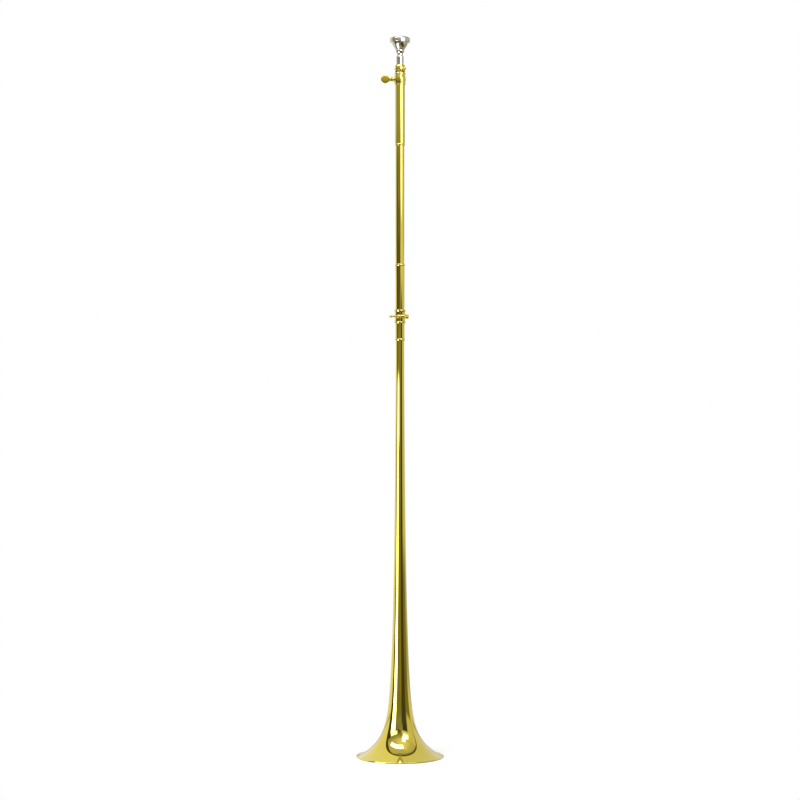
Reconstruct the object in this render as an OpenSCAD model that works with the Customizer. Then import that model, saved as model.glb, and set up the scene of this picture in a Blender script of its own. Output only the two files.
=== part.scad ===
// Straight post horn that comes apart in two sections, with a clamped tuning slide
// All sizes are in millimetres. The horn stands on its bell, with +Z along its bore.

/* [Bell] */
// Outside diameter of the bell over its rolled rim
bell_d = 117; // [110:0.5:124]
// Length of the bell from its mouth to the end of its tail
bell_length = 566; // [530:1:620]
// Thickness of the bell's sheet
bell_wall = 0.45; // [0.4:0.05:0.6]
// Diameter of the wire inside the rolled rim
rim_wire_d = 0.9; // [0.8:0.1:1.2]
// Width of the flat ring on which the rim rests
rim_flat_w = 0.8; // [0.6:0.1:1]
// Radius that the throat's long swell adds at the mouth
throat_swell = 12.8; // [11:0.1:15]
// Length over which the throat's swell fades away
throat_fade = 117; // [100:1:130]
// Length over which the mouth's flare fades away
flare_fade = 19.5; // [17:0.5:23]
// Radius that the long straight cone adds at the mouth
cone_swell = 2.3; // [1.8:0.1:3]
// Height at which the long straight cone ends
cone_top = 496; // [440:1:510]

/* [Tubes] */
// Outside diameter of the main tube, which the bell's tail shares
tube_d = 11.5; // [11:0.1:12.5]
// Wall of the main tube
tube_wall = 0.4; // [0.3:0.05:0.5]
// Length of the main tube from its tenon to the top of its bush
tube_length = 262; // [240:1:300]
// Length of the tenon that goes down into the bell section's socket
tenon_length = 29; // [26:1:34]
// Wall of the socket and of the sleeve above the joint
sleeve_wall = 0.38; // [0.3:0.02:0.5]
// Length of the sleeve above the joint
joint_sleeve_length = 61; // [50:1:80]
// Length of the socket that is soldered over the bell's tail
socket_lap = 11; // [8:1:14]
// Gap between the tenon and the end of the bell's tail
tenon_gap = 1; // [0.5:0.1:2]

/* [Tuning slide] */
// Wall of the outer slide tube
slide_wall = 0.45; // [0.4:0.05:0.6]
// Length of the outer slide tube
slide_length = 94.2; // [85:0.1:110]
// Wall of the inner slide tube
inner_wall = 0.45; // [0.35:0.05:0.55]
// Length of the bush that joins the outer slide to the main tube
bush_length = 11.6; // [9:0.1:15]
// Wall of that bush inside the outer slide tube
bush_wall = 0.24; // [0.2:0.02:0.34]
// Gap left under the inner slide when it is pushed home
slide_gap = 3; // [2:0.5:6]

/* [Rings] */
// Height of each small ring that ends a sleeve
ring_h = 2.5; // [1.8:0.1:2.8]
// How far each small ring stands out from its sleeve
ring_proud = 0.3; // [0.24:0.02:0.4]

/* [Joint clamp] */
// Height of the split clamp round the socket
clamp_h = 18; // [16:0.5:22]
// Wall of the split clamp between its beads
clamp_wall = 0.85; // [0.7:0.05:1.1]
// How far the beads at the clamp's two ends stand out
clamp_bead = 0.5; // [0.4:0.05:0.7]
// Height of each bead
clamp_bead_h = 2.4; // [2:0.1:3]
// Width of the slit at the front of the clamp and the socket
slit_w = 0.6; // [0.4:0.1:0.8]
// Diameter of the two lugs
lug_d = 4.4; // [4.2:0.1:5]
// Length of the threaded lug on the left
left_lug_length = 3.2; // [2.6:0.1:4]
// Length of the plain lug under the knob
right_lug_length = 5.8; // [5:0.1:6.4]
// How far the screw runs in front of the clamp's wall
screw_standoff = 1.5; // [1.3:0.1:1.8]
// Diameter of the clamp screw
clamp_screw_d = 2.4; // [2.2:0.1:2.8]
// Length of screw that stands out beyond the left lug, with its ball
clamp_tail = 11; // [9:0.5:13]
// Diameter of the ball that closes the screw's end
clamp_ball_d = 3.7; // [3.4:0.1:4.4]
// Diameter of the clamp screw's knob
knob_d = 6.3; // [5.8:0.1:7]
// Length of the knob without its neck
knob_length = 4.6; // [4:0.1:5.4]
// Length of the knob's neck, which bears on the lug
knob_neck = 0.8; // [0.6:0.1:1.2]

/* [Slide clamp] */
// Height of the barrel at the top of the outer slide
barrel_h = 15.9; // [15:0.1:19]
// Wall of the barrel at its waist, beside its beads
barrel_wall = 0.6; // [0.5:0.05:0.8]
// How far the barrel's belly swells
barrel_swell = 0.55; // [0.4:0.05:0.8]
// How far the beads at the barrel's two ends stand out
barrel_bead = 0.35; // [0.25:0.05:0.5]
// Height of each bead
barrel_bead_h = 1.8; // [1.5:0.1:2.2]
// Diameter of the boss that holds the thumb screw
boss_d = 6.6; // [6.2:0.1:7.2]
// How far the boss stands out from the barrel's belly
boss_proud = 0.9; // [0.6:0.1:1.4]
// Diameter of the thumb screw's stem
thumb_stem_d = 3.5; // [3.2:0.1:3.8]
// Length of the turned neck between the boss and the thumb piece
thumb_neck_length = 5.7; // [5.6:0.1:8.4]
// Smallest diameter of that neck
thumb_waist_d = 5.4; // [5:0.1:5.8]
// Diameter of the round thumb piece
thumb_disc_d = 11.2; // [10:0.1:12]
// Thickness of the round thumb piece
thumb_disc_t = 2.4; // [2:0.1:3]

/* [Mouthpiece receiver] */
// Height of the flange that rests on the barrel
flange_h = 2.9; // [2.4:0.1:3.6]
// How far the flange stands out from the inner slide tube
flange_proud = 0.8; // [0.6:0.05:0.9]
// Depth of the cove turned round the flange
flange_cove = 0.3; // [0.2:0.05:0.6]
// Height of the collar round the receiver
collar_h = 8.2; // [7.6:0.1:9.6]
// Outside diameter of the receiver inside its collar
receiver_d = 12; // [11.8:0.1:12.4]
// Outside diameter of the collar at its widest
collar_d = 14.3; // [14:0.1:15]
// Length of the receiver inside the inner slide tube
spigot_length = 15; // [13:0.5:18]
// Direction of the locking screw, from the front towards the right
lock_angle = 38; // [30:1:50]
// How far the locking screw lies below the collar's middle
lock_drop = 2; // [1:0.1:2.2]
// Diameter of the locking screw's stem
lock_stem_d = 2; // [1.8:0.1:2.2]
// Diameter of the locking screw's ball
lock_ball_d = 4.6; // [4.2:0.1:5]
// Gap between the collar and the ball
lock_ball_gap = 0.2; // [0.15:0.05:0.6]

/* [Mouthpiece] */
// Diameter of the rim
rim_d = 27; // [26:0.1:28]
// Height of the rim
rim_h = 6.7; // [6.6:0.1:7.8]
// Inside diameter of the rim, where the lips sit
cup_d = 16.6; // [16:0.1:17.4]
// Depth of the cup
cup_depth = 11.6; // [10.6:0.1:12.4]
// Outside diameter of the bowl under the rim
bowl_d = 21.6; // [20.8:0.1:22.6]
// Height of the bowl under the rim
bowl_h = 9.9; // [8.8:0.1:10.4]
// Outside diameter at the bowl's foot
bowl_foot_d = 11.2; // [10.6:0.1:11.8]
// Height of the turned knop under the bowl
knop_h = 4.6; // [4:0.1:5.4]
// How far the knop swells beyond the bowl's foot
knop_swell = 0.35; // [0.2:0.05:0.5]
// Outside diameter of the neck under the knop
neck_d = 7.7; // [7.2:0.1:8.2]
// Height of the neck
neck_h = 5; // [4.4:0.1:6]
// Length of shank that shows above the receiver
shank_shown = 10.4; // [9:0.1:12]
// Diameter of the shank at the mouth of the receiver
shank_d = 9.3; // [9:0.1:9.6]
// Length of shank inside the receiver
shank_insert = 24; // [21:0.5:25]
// Diameter of the throat
throat_d = 3.9; // [3.6:0.1:4.4]
// Length of the throat
throat_length = 5; // [4:0.5:7]
// Wall at the shank's end
shank_end_wall = 0.8; // [0.6:0.1:1]

/* [Fits] */
// Radial clearance of every part that slides or turns
run_fit = 0.03; // [0.02:0.005:0.05]
// Radial gap that solder fills
solder_gap = 0.02; // [0.01:0.005:0.03]
// Gap between faces that meet when a section or slide is pushed home
stop_gap = 0.05; // [0.03:0.01:0.08]

/* [Hidden] */
$fn = 96;

// Overshoot of every cutting tool
cut = 0.5;
// Fall of the shank's radius for each millimetre of its length, a taper of 1 in 20
shank_taper = 1 / 40;
// Steps along the bell's outline, and round the curl of its rim
bell_steps = 40;
curl_steps = 16;
// Steps of a small bead, and of a longer swell
bead_steps = 6;
swell_steps = 10;
// How strongly the bell's outline points crowd towards the mouth
crowding = 4.5;

// Radii of the tubes that fit in each other
tube_r = tube_d / 2;
socket_bore_r = tube_r + run_fit;
socket_r = socket_bore_r + sleeve_wall;
joint_sleeve_bore_r = tube_r + solder_gap;
joint_sleeve_r = joint_sleeve_bore_r + sleeve_wall;
bush_bore_r = tube_r + solder_gap;
bush_r = bush_bore_r + bush_wall;
slide_bore_r = bush_r + solder_gap;
slide_r = slide_bore_r + slide_wall;
inner_slide_r = slide_bore_r - run_fit;
inner_bore_r = inner_slide_r - inner_wall;

// Heights of the bell section
socket_bottom_z = bell_length - socket_lap;
tenon_z = bell_length + tenon_gap;
joint_z = tenon_z + tenon_length;
clamp_z = joint_z - clamp_h;
// Heights of the upper section
joint_sleeve_z = joint_z + stop_gap;
joint_sleeve_top_z = joint_sleeve_z + joint_sleeve_length;
tube_top_z = tenon_z + tube_length;
slide_z = tube_top_z - bush_length;
slide_top_z = slide_z + slide_length;
barrel_z = slide_top_z - barrel_h;
// Heights of the tuning slide and the mouthpiece
inner_slide_z = tube_top_z + slide_gap;
flange_z = slide_top_z + stop_gap;
collar_z = flange_z + flange_h;
receiver_top_z = collar_z + collar_h;
knop_z = receiver_top_z + shank_shown + neck_h;
bowl_z = knop_z + knop_h;
rim_z = bowl_z + bowl_h;
mouthpiece_top_z = rim_z + rim_h;

// Rolled rim: the bead's centre lies so that its underside is cut flat at z = 0
curl_bore_r = rim_wire_d / 2 + solder_gap;
curl_r = curl_bore_r + bell_wall;
curl_z = sqrt(curl_r * curl_r - rim_flat_w * rim_flat_w / 4);
curl_centre_r = bell_d / 2 - curl_r;
// Gap between the curled edge and the flare, and where it opens
curl_gap = 0.3;
curl_gap_angle = 168;

// Outline of the bell: a cylinder at the tail, a straight cone, a long swell and a short flare
tail_swell = exp(-socket_bottom_z / throat_fade);
// Slope of the outline at the mouth, taken with the radius of the bead's centre
mouth_slope = cone_swell / cone_top + throat_swell / throat_fade
    + (curl_centre_r - tube_r - cone_swell - throat_swell) / flare_fade;
slant = sqrt(1 + mouth_slope * mouth_slope);
// Radius at which the sheet's outside would meet z = 0, so that it just touches the wire's bore
mouth_r = curl_centre_r + curl_z * mouth_slope - curl_bore_r * slant;
flare_swell = mouth_r - tube_r - cone_swell - throat_swell * (1 - tail_swell);

function bell_r(z) =
    z >= socket_bottom_z ? tube_r :
    tube_r + cone_swell * (1 - min(z, cone_top) / cone_top)
    + throat_swell * (exp(-z / throat_fade) - tail_swell)
    + flare_swell * exp(-z / flare_fade);
function bell_slope(z) =
    z >= socket_bottom_z ? 0 :
    (z < cone_top ? cone_swell / cone_top : 0)
    + throat_swell / throat_fade * exp(-z / throat_fade)
    + flare_swell / flare_fade * exp(-z / flare_fade);
// Radius of the inside, one wall below the outside, measured square to the sheet
function bell_bore_r(z) = bell_r(z) - bell_wall * sqrt(1 + pow(bell_slope(z), 2));
// Heights of the outline's points, closer together towards the mouth
function bell_z(i) = socket_bottom_z * (exp(crowding * i / bell_steps) - 1) / (exp(crowding) - 1);

// Points of a swelling outline from z upwards, standing out by swell at its middle
function swell_points(r, swell, z, h, steps) =
    [for (i = [0:steps]) [r + swell * sin(180 * i / steps), z + h * i / steps]];
// Points of an arc round a centre
function arc_points(centre, r, from, to, steps) =
    [for (i = [0:steps]) centre + r * [cos(from + (to - from) * i / steps),
                                       sin(from + (to - from) * i / steps)]];

// Turns a piece that is drawn along +Z so that it lies along the thumb screw's way out, -X
module along_left(z) { translate([0, 0, z]) rotate([0, -90, 0]) children(); }
// The same for the clamp screw, whose knob is on the right
module along_right(y, z) { translate([0, y, z]) rotate([0, 90, 0]) children(); }
// The same for the locking screw, which points forward and to the right
module along_lock(z) { translate([0, 0, z]) rotate([0, 0, lock_angle]) rotate([90, 0, 0]) children(); }

// A plain tube between two heights
module tube(r, bore_r, z0, z1) {
    translate([0, 0, z0]) difference() {
        cylinder(h = z1 - z0, r = r);
        translate([0, 0, -cut]) cylinder(h = z1 - z0 + 2 * cut, r = bore_r);
    }
}

// A ring whose outside swells between two heights
module swelling_ring(bore_r, r, swell, z, h) {
    rotate_extrude() polygon(concat(
        [[bore_r, z]],
        swell_points(r, swell, z, h, bead_steps),
        [[bore_r, z + h]]));
}

// A straight wall with a bead at each end, turned as one piece
module beaded_wall(bore_r, r, belly, bead, bead_h, z, h) {
    rotate_extrude() polygon(concat(
        [[bore_r, z]],
        swell_points(r, bead, z, bead_h, bead_steps),
        swell_points(r, belly, z + bead_h, h - 2 * bead_h, swell_steps),
        swell_points(r, bead, z + h - bead_h, bead_h, bead_steps),
        [[bore_r, z + h]]));
}

// BELL SECTION

// The sheet of the bell with its edge rolled outwards round the rim wire
module bell() {
    centre = [curl_centre_r, curl_z];
    touch = centre - curl_bore_r / slant * [1, mouth_slope];
    foot = centre - curl_r / slant * [1, mouth_slope];
    rising = [for (i = [1:bell_steps]) if (bell_z(i) > 1.2 * touch.y) bell_z(i)];
    sheet = concat(
        [foot, touch],
        [for (z = rising) [bell_r(z), z]],
        [[tube_r, bell_length], [tube_r - bell_wall, bell_length]],
        [for (i = [len(rising) - 1:-1:0]) [bell_bore_r(rising[i]), rising[i]]]);
    color("gold") rotate_extrude() difference() {
        union() {
            polygon(sheet);
            polygon(arc_points(centre, curl_r, 0, 360 * (1 - 1 / curl_steps), curl_steps - 1));
        }
        polygon(arc_points(centre, curl_bore_r, 0, 360 * (1 - 1 / curl_steps), curl_steps - 1));
        translate(centre) rotate(curl_gap_angle) translate([0, -curl_gap / 2])
            square([curl_r + cut, curl_gap]);
        translate([curl_centre_r - 2 * curl_r, -2 * curl_r]) square([4 * curl_r, 2 * curl_r]);
    }
}

// The wire inside the rolled rim
module rim_wire() {
    color("goldenrod") rotate_extrude() translate([curl_centre_r, curl_z])
        circle(d = rim_wire_d, $fn = 24);
}

// The slit that lets the clamp squeeze the socket
module slit(from_r, z0, z1) {
    translate([-slit_w / 2, -from_r, z0]) cube([slit_w, from_r, z1 - z0]);
}

// The socket on the bell's tail, slit at its top where the clamp goes round it
module tail_socket() {
    color("gold") difference() {
        tube(socket_r, socket_bore_r, socket_bottom_z, joint_z);
        slit(2 * socket_r, clamp_z, joint_z + cut);
    }
}

// The ring that ends the socket on the bell's tail
module tail_ring() {
    color("gold") swelling_ring(socket_r + solder_gap, socket_r + ring_proud / 2, ring_proud,
                                socket_bottom_z, ring_h);
}

// The clamp's sizes that its screw shares
clamp_bore_r = socket_r + solder_gap;
clamp_r = clamp_bore_r + clamp_wall;
screw_y = -(clamp_r + screw_standoff);
screw_z = clamp_z + clamp_h / 2;
left_lug_x = -(slit_w / 2 + left_lug_length);
right_lug_x = slit_w / 2 + right_lug_length;

// The split clamp with the two lugs that its screw draws together
module joint_clamp() {
    web_z = lug_d * 0.8;
    color("darkgoldenrod") difference() {
        union() {
            beaded_wall(clamp_bore_r, clamp_r, 0, clamp_bead, clamp_bead_h, clamp_z, clamp_h);
            along_right(screw_y, screw_z) translate([0, 0, left_lug_x])
                cylinder(h = right_lug_x - left_lug_x, d = lug_d);
            translate([left_lug_x, screw_y, screw_z - web_z / 2])
                cube([right_lug_x * 0.7 - left_lug_x, -screw_y - clamp_bore_r * 0.8, web_z]);
        }
        translate([0, 0, clamp_z - cut]) cylinder(h = clamp_h + 2 * cut, r = clamp_bore_r);
        along_right(screw_y, screw_z) translate([0, 0, left_lug_x - cut])
            cylinder(h = right_lug_x - left_lug_x + 2 * cut, r = clamp_screw_d / 2 + run_fit);
        slit(3 * clamp_r, clamp_z - cut, joint_z + cut);
    }
}

// Where the knob starts, and how deep the stem goes into it
knob_x = right_lug_x + stop_gap;
knob_bore_x = knob_x + knob_neck + knob_length * 0.7;

// The clamp screw's stem, closed by a ball so that it can't be lost
module clamp_screw_stem() {
    ball_x = left_lug_x - clamp_tail + clamp_ball_d / 2;
    color("darkgoldenrod") along_right(screw_y, screw_z) translate([0, 0, ball_x]) union() {
        cylinder(h = knob_bore_x - stop_gap - ball_x, d = clamp_screw_d);
        sphere(d = clamp_ball_d, $fn = 32);
    }
}

// The knob that turns the clamp screw
module clamp_screw_knob() {
    neck_r = lug_d / 2 * 0.85;
    outline = concat(
        [[0, 0], [neck_r, 0], [neck_r, knob_neck]],
        swell_points(knob_d / 2 - 0.5, 0.5, knob_neck, knob_length, swell_steps),
        [[0, knob_neck + knob_length]]);
    color("darkgoldenrod") along_right(screw_y, screw_z) translate([0, 0, knob_x]) difference() {
        rotate_extrude() polygon(outline);
        translate([0, 0, -cut])
            cylinder(h = knob_bore_x - knob_x + cut, r = clamp_screw_d / 2 + run_fit);
    }
}

// UPPER SECTION

// The main tube, whose lower end is the tenon
module main_tube() {
    color("gold") tube(tube_r, tube_r - tube_wall, tenon_z, tube_top_z);
}

// The sleeve over the main tube that rests on the joint
module joint_sleeve() {
    color("gold") tube(joint_sleeve_r, joint_sleeve_bore_r, joint_sleeve_z, joint_sleeve_top_z);
}

// The ring that ends that sleeve
module joint_sleeve_ring() {
    color("gold") swelling_ring(joint_sleeve_r + solder_gap, joint_sleeve_r + ring_proud / 2, ring_proud,
                                joint_sleeve_top_z - ring_h, ring_h);
}

// The bush that joins the outer slide to the main tube, with its ring outside
module slide_bush() {
    color("gold") union() {
        swelling_ring(bush_bore_r, slide_r, ring_proud, slide_z - ring_h, ring_h);
        tube(bush_r, bush_bore_r, slide_z - ring_h / 2, tube_top_z);
    }
}

// The thumb screw's height, and where its boss ends
thumb_z = barrel_z + barrel_h / 2;
barrel_bore_r = slide_r + solder_gap;
barrel_r = barrel_bore_r + barrel_wall;
boss_end_r = barrel_r + barrel_swell + boss_proud;

// The hole that the thumb screw's stem runs in
module thumb_hole(to_r) {
    along_left(thumb_z) cylinder(h = to_r, r = thumb_stem_d / 2 + run_fit);
}

// The outer slide tube
module outer_slide() {
    color("gold") difference() {
        tube(slide_r, slide_bore_r, slide_z, slide_top_z);
        thumb_hole(slide_r + cut);
    }
}

// The barrel round the top of the outer slide
module slide_barrel() {
    color("darkgoldenrod") difference() {
        beaded_wall(barrel_bore_r, barrel_r, barrel_swell, barrel_bead, barrel_bead_h, barrel_z, barrel_h);
        thumb_hole(boss_end_r + cut);
    }
}

// The boss on the barrel, which carries the thumb screw's thread
module thumb_screw_boss() {
    color("darkgoldenrod") difference() {
        along_left(thumb_z) translate([0, 0, barrel_bore_r])
            cylinder(h = boss_end_r - barrel_bore_r, d = boss_d);
        rotate_extrude() polygon(concat(
            [[0, barrel_z]],
            swell_points(barrel_r, barrel_swell, barrel_z + barrel_bead_h,
                         barrel_h - 2 * barrel_bead_h, swell_steps),
            [[0, barrel_z + barrel_h]]));
        thumb_hole(boss_end_r + cut);
    }
}

// Where the thumb screw's head starts, and how deep the stem goes into it
thumb_head_r = boss_end_r + stop_gap;
thumb_bore_r = thumb_head_r + thumb_neck_length * 0.8;

// The thumb screw's stem, whose tip holds the inner slide
module thumb_screw_stem() {
    color("darkgoldenrod") along_left(thumb_z) translate([0, 0, inner_slide_r + run_fit])
        cylinder(h = thumb_bore_r - stop_gap - inner_slide_r - run_fit, d = thumb_stem_d);
}

// The thumb screw's head: a turned neck and a round flat thumb piece
module thumb_screw_head() {
    shoulder_r = boss_d / 2 * 0.95;
    waist_r = thumb_waist_d / 2;
    // The neck runs into the thumb piece as far as the disc hides it
    neck_end = thumb_neck_length + thumb_disc_d * 0.1;
    disc_at = thumb_neck_length + thumb_disc_d / 2;
    neck = concat(
        [[0, 0], [shoulder_r, 0], [shoulder_r, 0.8]],
        [for (i = [0:swell_steps])
            let (t = i / swell_steps)
            [waist_r + (shoulder_r - waist_r) * pow(2 * t - 1, 2), 0.8 + (neck_end - 0.8) * t]],
        [[0, neck_end]]);
    coin = concat(
        [[0, -thumb_disc_t / 2]],
        swell_points(thumb_disc_d / 2 - 0.7, 0.7, -thumb_disc_t / 2, thumb_disc_t, bead_steps),
        [[0, thumb_disc_t / 2]]);
    color("darkgoldenrod") along_left(thumb_z) translate([0, 0, thumb_head_r]) difference() {
        union() {
            rotate_extrude() polygon(neck);
            translate([0, 0, disc_at]) rotate([90, 0, 0]) rotate_extrude() polygon(coin);
        }
        translate([0, 0, -cut])
            cylinder(h = thumb_bore_r - thumb_head_r + cut, r = thumb_stem_d / 2 + run_fit);
    }
}

// TUNING SLIDE

// The inner slide tube
module inner_slide() {
    color("gold") tube(inner_slide_r, inner_bore_r, inner_slide_z, slide_top_z);
}

// The locking screw's height, and where its ball lies
lock_z = collar_z + collar_h / 2 - lock_drop;
lock_ball_r = collar_d / 2 + lock_ball_gap + lock_ball_d / 2;

// The hole that the locking screw's stem runs in
module lock_hole() {
    along_lock(lock_z) cylinder(h = collar_d, r = lock_stem_d / 2 + run_fit);
}

// Radius of the shank at a height, inside the receiver and above it
function shank_r(z) = shank_d / 2 + shank_taper * (z - receiver_top_z);

// The receiver: a tapered socket, a coved flange that rests on the barrel and a spigot in the slide
module mouthpiece_receiver() {
    spigot_r = inner_bore_r - solder_gap;
    spigot_z = flange_z - spigot_length;
    // The taper runs a little past the shank's end and then opens to the slide
    taper_z = receiver_top_z - shank_insert - 0.5;
    outline = concat(
        [[spigot_r - 0.5, spigot_z], [spigot_r, spigot_z], [spigot_r, flange_z]],
        swell_points(inner_slide_r + flange_proud, -flange_cove, flange_z, flange_h, bead_steps),
        [[receiver_d / 2, collar_z], [receiver_d / 2, receiver_top_z],
         [shank_r(receiver_top_z) + run_fit, receiver_top_z],
         [shank_r(taper_z) + run_fit, taper_z]]);
    color("gold") difference() {
        rotate_extrude() polygon(outline);
        lock_hole();
    }
}

// The collar round the receiver, with the thread of the locking screw
module receiver_collar() {
    bore_r = receiver_d / 2 + solder_gap;
    edge_r = collar_d / 2 - 0.7;
    color("darkgoldenrod") difference() {
        rotate_extrude() polygon(concat(
            [[bore_r, collar_z + stop_gap]],
            swell_points(edge_r, 0.7, collar_z + stop_gap, collar_h - stop_gap, swell_steps),
            [[bore_r, receiver_top_z]]));
        lock_hole();
    }
}

// The locking screw's stem, whose tip holds the shank
module lock_screw_stem() {
    tip_r = shank_r(lock_z + lock_stem_d / 2) + run_fit;
    color("darkgoldenrod") along_lock(lock_z) translate([0, 0, tip_r])
        cylinder(h = lock_ball_r - tip_r, d = lock_stem_d);
}

// The ball that turns the locking screw
module lock_screw_ball() {
    color("darkgoldenrod") difference() {
        along_lock(lock_z) translate([0, 0, lock_ball_r]) sphere(d = lock_ball_d, $fn = 32);
        along_lock(lock_z) cylinder(h = lock_ball_r + stop_gap, r = lock_stem_d / 2 + run_fit);
    }
}

// MOUTHPIECE

// The mouthpiece: rim, bowl, knop, neck and shank outside, cup, throat and backbore inside
module mouthpiece() {
    rim_r = rim_d / 2;
    crest_r = (rim_r + cup_d / 2) / 2;
    shank_z = receiver_top_z - shank_insert;
    foot_r = bowl_foot_d / 2;
    neck_z = knop_z - neck_h;
    throat_top_z = mouthpiece_top_z - cup_depth;
    outer = concat(
        [[shank_r(shank_z), shank_z], [shank_r(neck_z), neck_z]],
        // A cove from the shank up to the neck
        [for (i = [1:bead_steps]) let (t = i / bead_steps)
            [neck_d / 2 + (shank_r(neck_z) - neck_d / 2) * (1 + cos(180 * t)) / 2, neck_z + neck_h * 0.4 * t]],
        [[neck_d / 2, knop_z]],
        // The knop, which runs out into the bowl's foot
        [for (i = [1:bead_steps]) let (t = i / bead_steps)
            [neck_d / 2 + (foot_r - neck_d / 2) * sin(90 * t) + knop_swell * sin(180 * t), knop_z + knop_h * t]],
        // The bowl
        [for (i = [1:swell_steps]) let (t = i / swell_steps)
            [foot_r + (bowl_d / 2 - foot_r) * (1 - pow(1 - t, 1.35)), bowl_z + bowl_h * t]],
        // The rim's underside, its side and its rounded top
        [[rim_r - 0.6, rim_z], [rim_r, rim_z + 0.6], [rim_r, mouthpiece_top_z - 2.4]],
        [for (i = [1:swell_steps]) let (t = i / swell_steps)
            [rim_r - (rim_r - crest_r) * (1 - cos(90 * t)), mouthpiece_top_z - 2.4 * (1 - sin(90 * t))]]);
    inner = concat(
        // The inner half of the rim's top
        [for (i = [1:bead_steps]) let (t = i / bead_steps)
            [crest_r - (crest_r - cup_d / 2) * sin(90 * t), mouthpiece_top_z - 1.6 * (1 - cos(90 * t))]],
        // The cup
        [for (i = [1:swell_steps]) let (t = i / swell_steps)
            [throat_d / 2 + (cup_d / 2 - throat_d / 2) * sqrt(1 - pow(t, 1.8)),
             mouthpiece_top_z - 1.6 - (cup_depth - 1.6) * t]],
        // The throat and the backbore
        [[throat_d / 2, throat_top_z - throat_length],
         [shank_r(shank_z) - shank_end_wall, shank_z]]);
    color("silver") rotate_extrude() polygon(concat(outer, inner));
}

bell();
rim_wire();
tail_socket();
tail_ring();
joint_clamp();
clamp_screw_stem();
clamp_screw_knob();
main_tube();
joint_sleeve();
joint_sleeve_ring();
slide_bush();
outer_slide();
slide_barrel();
thumb_screw_boss();
thumb_screw_stem();
thumb_screw_head();
inner_slide();
mouthpiece_receiver();
receiver_collar();
lock_screw_stem();
lock_screw_ball();
mouthpiece();
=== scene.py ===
"""Dresses the straight post horn: spun bell, clamped joint, tuning slide, screws and mouthpiece.

The horn's lengths are written in millimetres and become metres when a mesh is finished; the studio's
are in metres. The horn stands on its bell with its bore along +Z, and the camera looks along +Y.
"""
import logging
import math
from dataclasses import dataclass, field
from enum import Enum
from typing import Callable, Iterable, Optional, Sequence, Union

import bmesh
import bpy
from mathutils import Matrix, Vector


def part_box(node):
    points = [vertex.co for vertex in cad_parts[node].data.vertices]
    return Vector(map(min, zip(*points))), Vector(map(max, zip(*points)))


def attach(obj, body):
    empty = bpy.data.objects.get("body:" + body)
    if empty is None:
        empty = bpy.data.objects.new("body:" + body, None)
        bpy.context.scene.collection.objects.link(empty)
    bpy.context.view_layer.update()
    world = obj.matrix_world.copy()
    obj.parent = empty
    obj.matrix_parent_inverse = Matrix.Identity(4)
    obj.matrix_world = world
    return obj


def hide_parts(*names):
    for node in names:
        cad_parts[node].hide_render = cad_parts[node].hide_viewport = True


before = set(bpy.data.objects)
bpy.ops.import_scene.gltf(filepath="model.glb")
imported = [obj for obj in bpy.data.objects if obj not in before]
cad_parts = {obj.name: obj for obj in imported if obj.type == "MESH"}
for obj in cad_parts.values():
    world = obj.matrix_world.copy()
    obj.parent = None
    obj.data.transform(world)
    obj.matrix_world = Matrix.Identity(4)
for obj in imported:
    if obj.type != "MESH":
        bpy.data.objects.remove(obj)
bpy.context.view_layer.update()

LOG = logging.getLogger("post_horn")
MM = 0.001
TAU = 2 * math.pi
QUARTER = math.pi / 2
DEGREES = 360 / TAU

# Steps of a turned piece round its axis, and of one rounded corner
AROUND = 128
CORNER_STEPS = 6
# How far from a corner the ring lies that keeps the long faces straight
HOLD = 0.12
# The longest face along a tube
LONGEST_STEP = 14.0
# The share of a side that a corner's rounding may take
CORNER_REACH = 0.45
# Edges that turn more than this stay sharp
SHARP = math.radians(32)
# A radius below this lies on the axis
ON_AXIS = 1e-6
# The gap that solder fills, and the gap between faces that meet when a slide is pushed home
SOLDER = 0.02
STOP = 0.05
# The small rings: how far each stands out, its feet's rounding, its steps, and its wear at foot and crest
RING_SWELL = 0.3
RING_FOOT = 0.05
RING_STEPS = 12
RING_TARNISH = -0.9
RING_SHINE = 0.5
# How far the shank of the mouthpiece goes in, its radius at the receiver's mouth and its taper
SHANK_INSERT = 24.0
SHANK = 4.65
TAPER = 1 / 40

Outline = list[tuple[float, float, float]]
Colour = tuple[float, float, float]


class Socket:
    """An output socket that adds Math nodes when it is used in an expression."""

    def __init__(self, tree: "Tree", output: bpy.types.NodeSocket) -> None:
        """Wraps an output.

        Args:
            tree: The tree that the output belongs to.
            output: The output socket itself.
        """
        self.tree = tree
        self.output = output

    def __add__(self, other: "Term") -> "Socket":
        """Adds."""
        return self.tree.math("ADD", self, other)

    __radd__ = __add__

    def __mul__(self, other: "Term") -> "Socket":
        """Multiplies."""
        return self.tree.math("MULTIPLY", self, other)

    __rmul__ = __mul__

    def __sub__(self, other: "Term") -> "Socket":
        """Subtracts a term from this one."""
        return self.tree.math("SUBTRACT", self, other)

    def __rsub__(self, other: "Term") -> "Socket":
        """Subtracts this from a term."""
        return self.tree.math("SUBTRACT", other, self)

    def __truediv__(self, other: "Term") -> "Socket":
        """Divides this by a term."""
        return self.tree.math("DIVIDE", self, other)

    def __rtruediv__(self, other: "Term") -> "Socket":
        """Divides a term by this."""
        return self.tree.math("DIVIDE", other, self)

    def __neg__(self) -> "Socket":
        """Turns the sign round."""
        return self.tree.math("MULTIPLY", self, -1.0)

    def __pow__(self, other: "Term") -> "Socket":
        """Raises this to a power."""
        return self.tree.math("POWER", self, other)


Term = Union[Socket, float, int]
Paint = Union[Socket, Colour]


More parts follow.
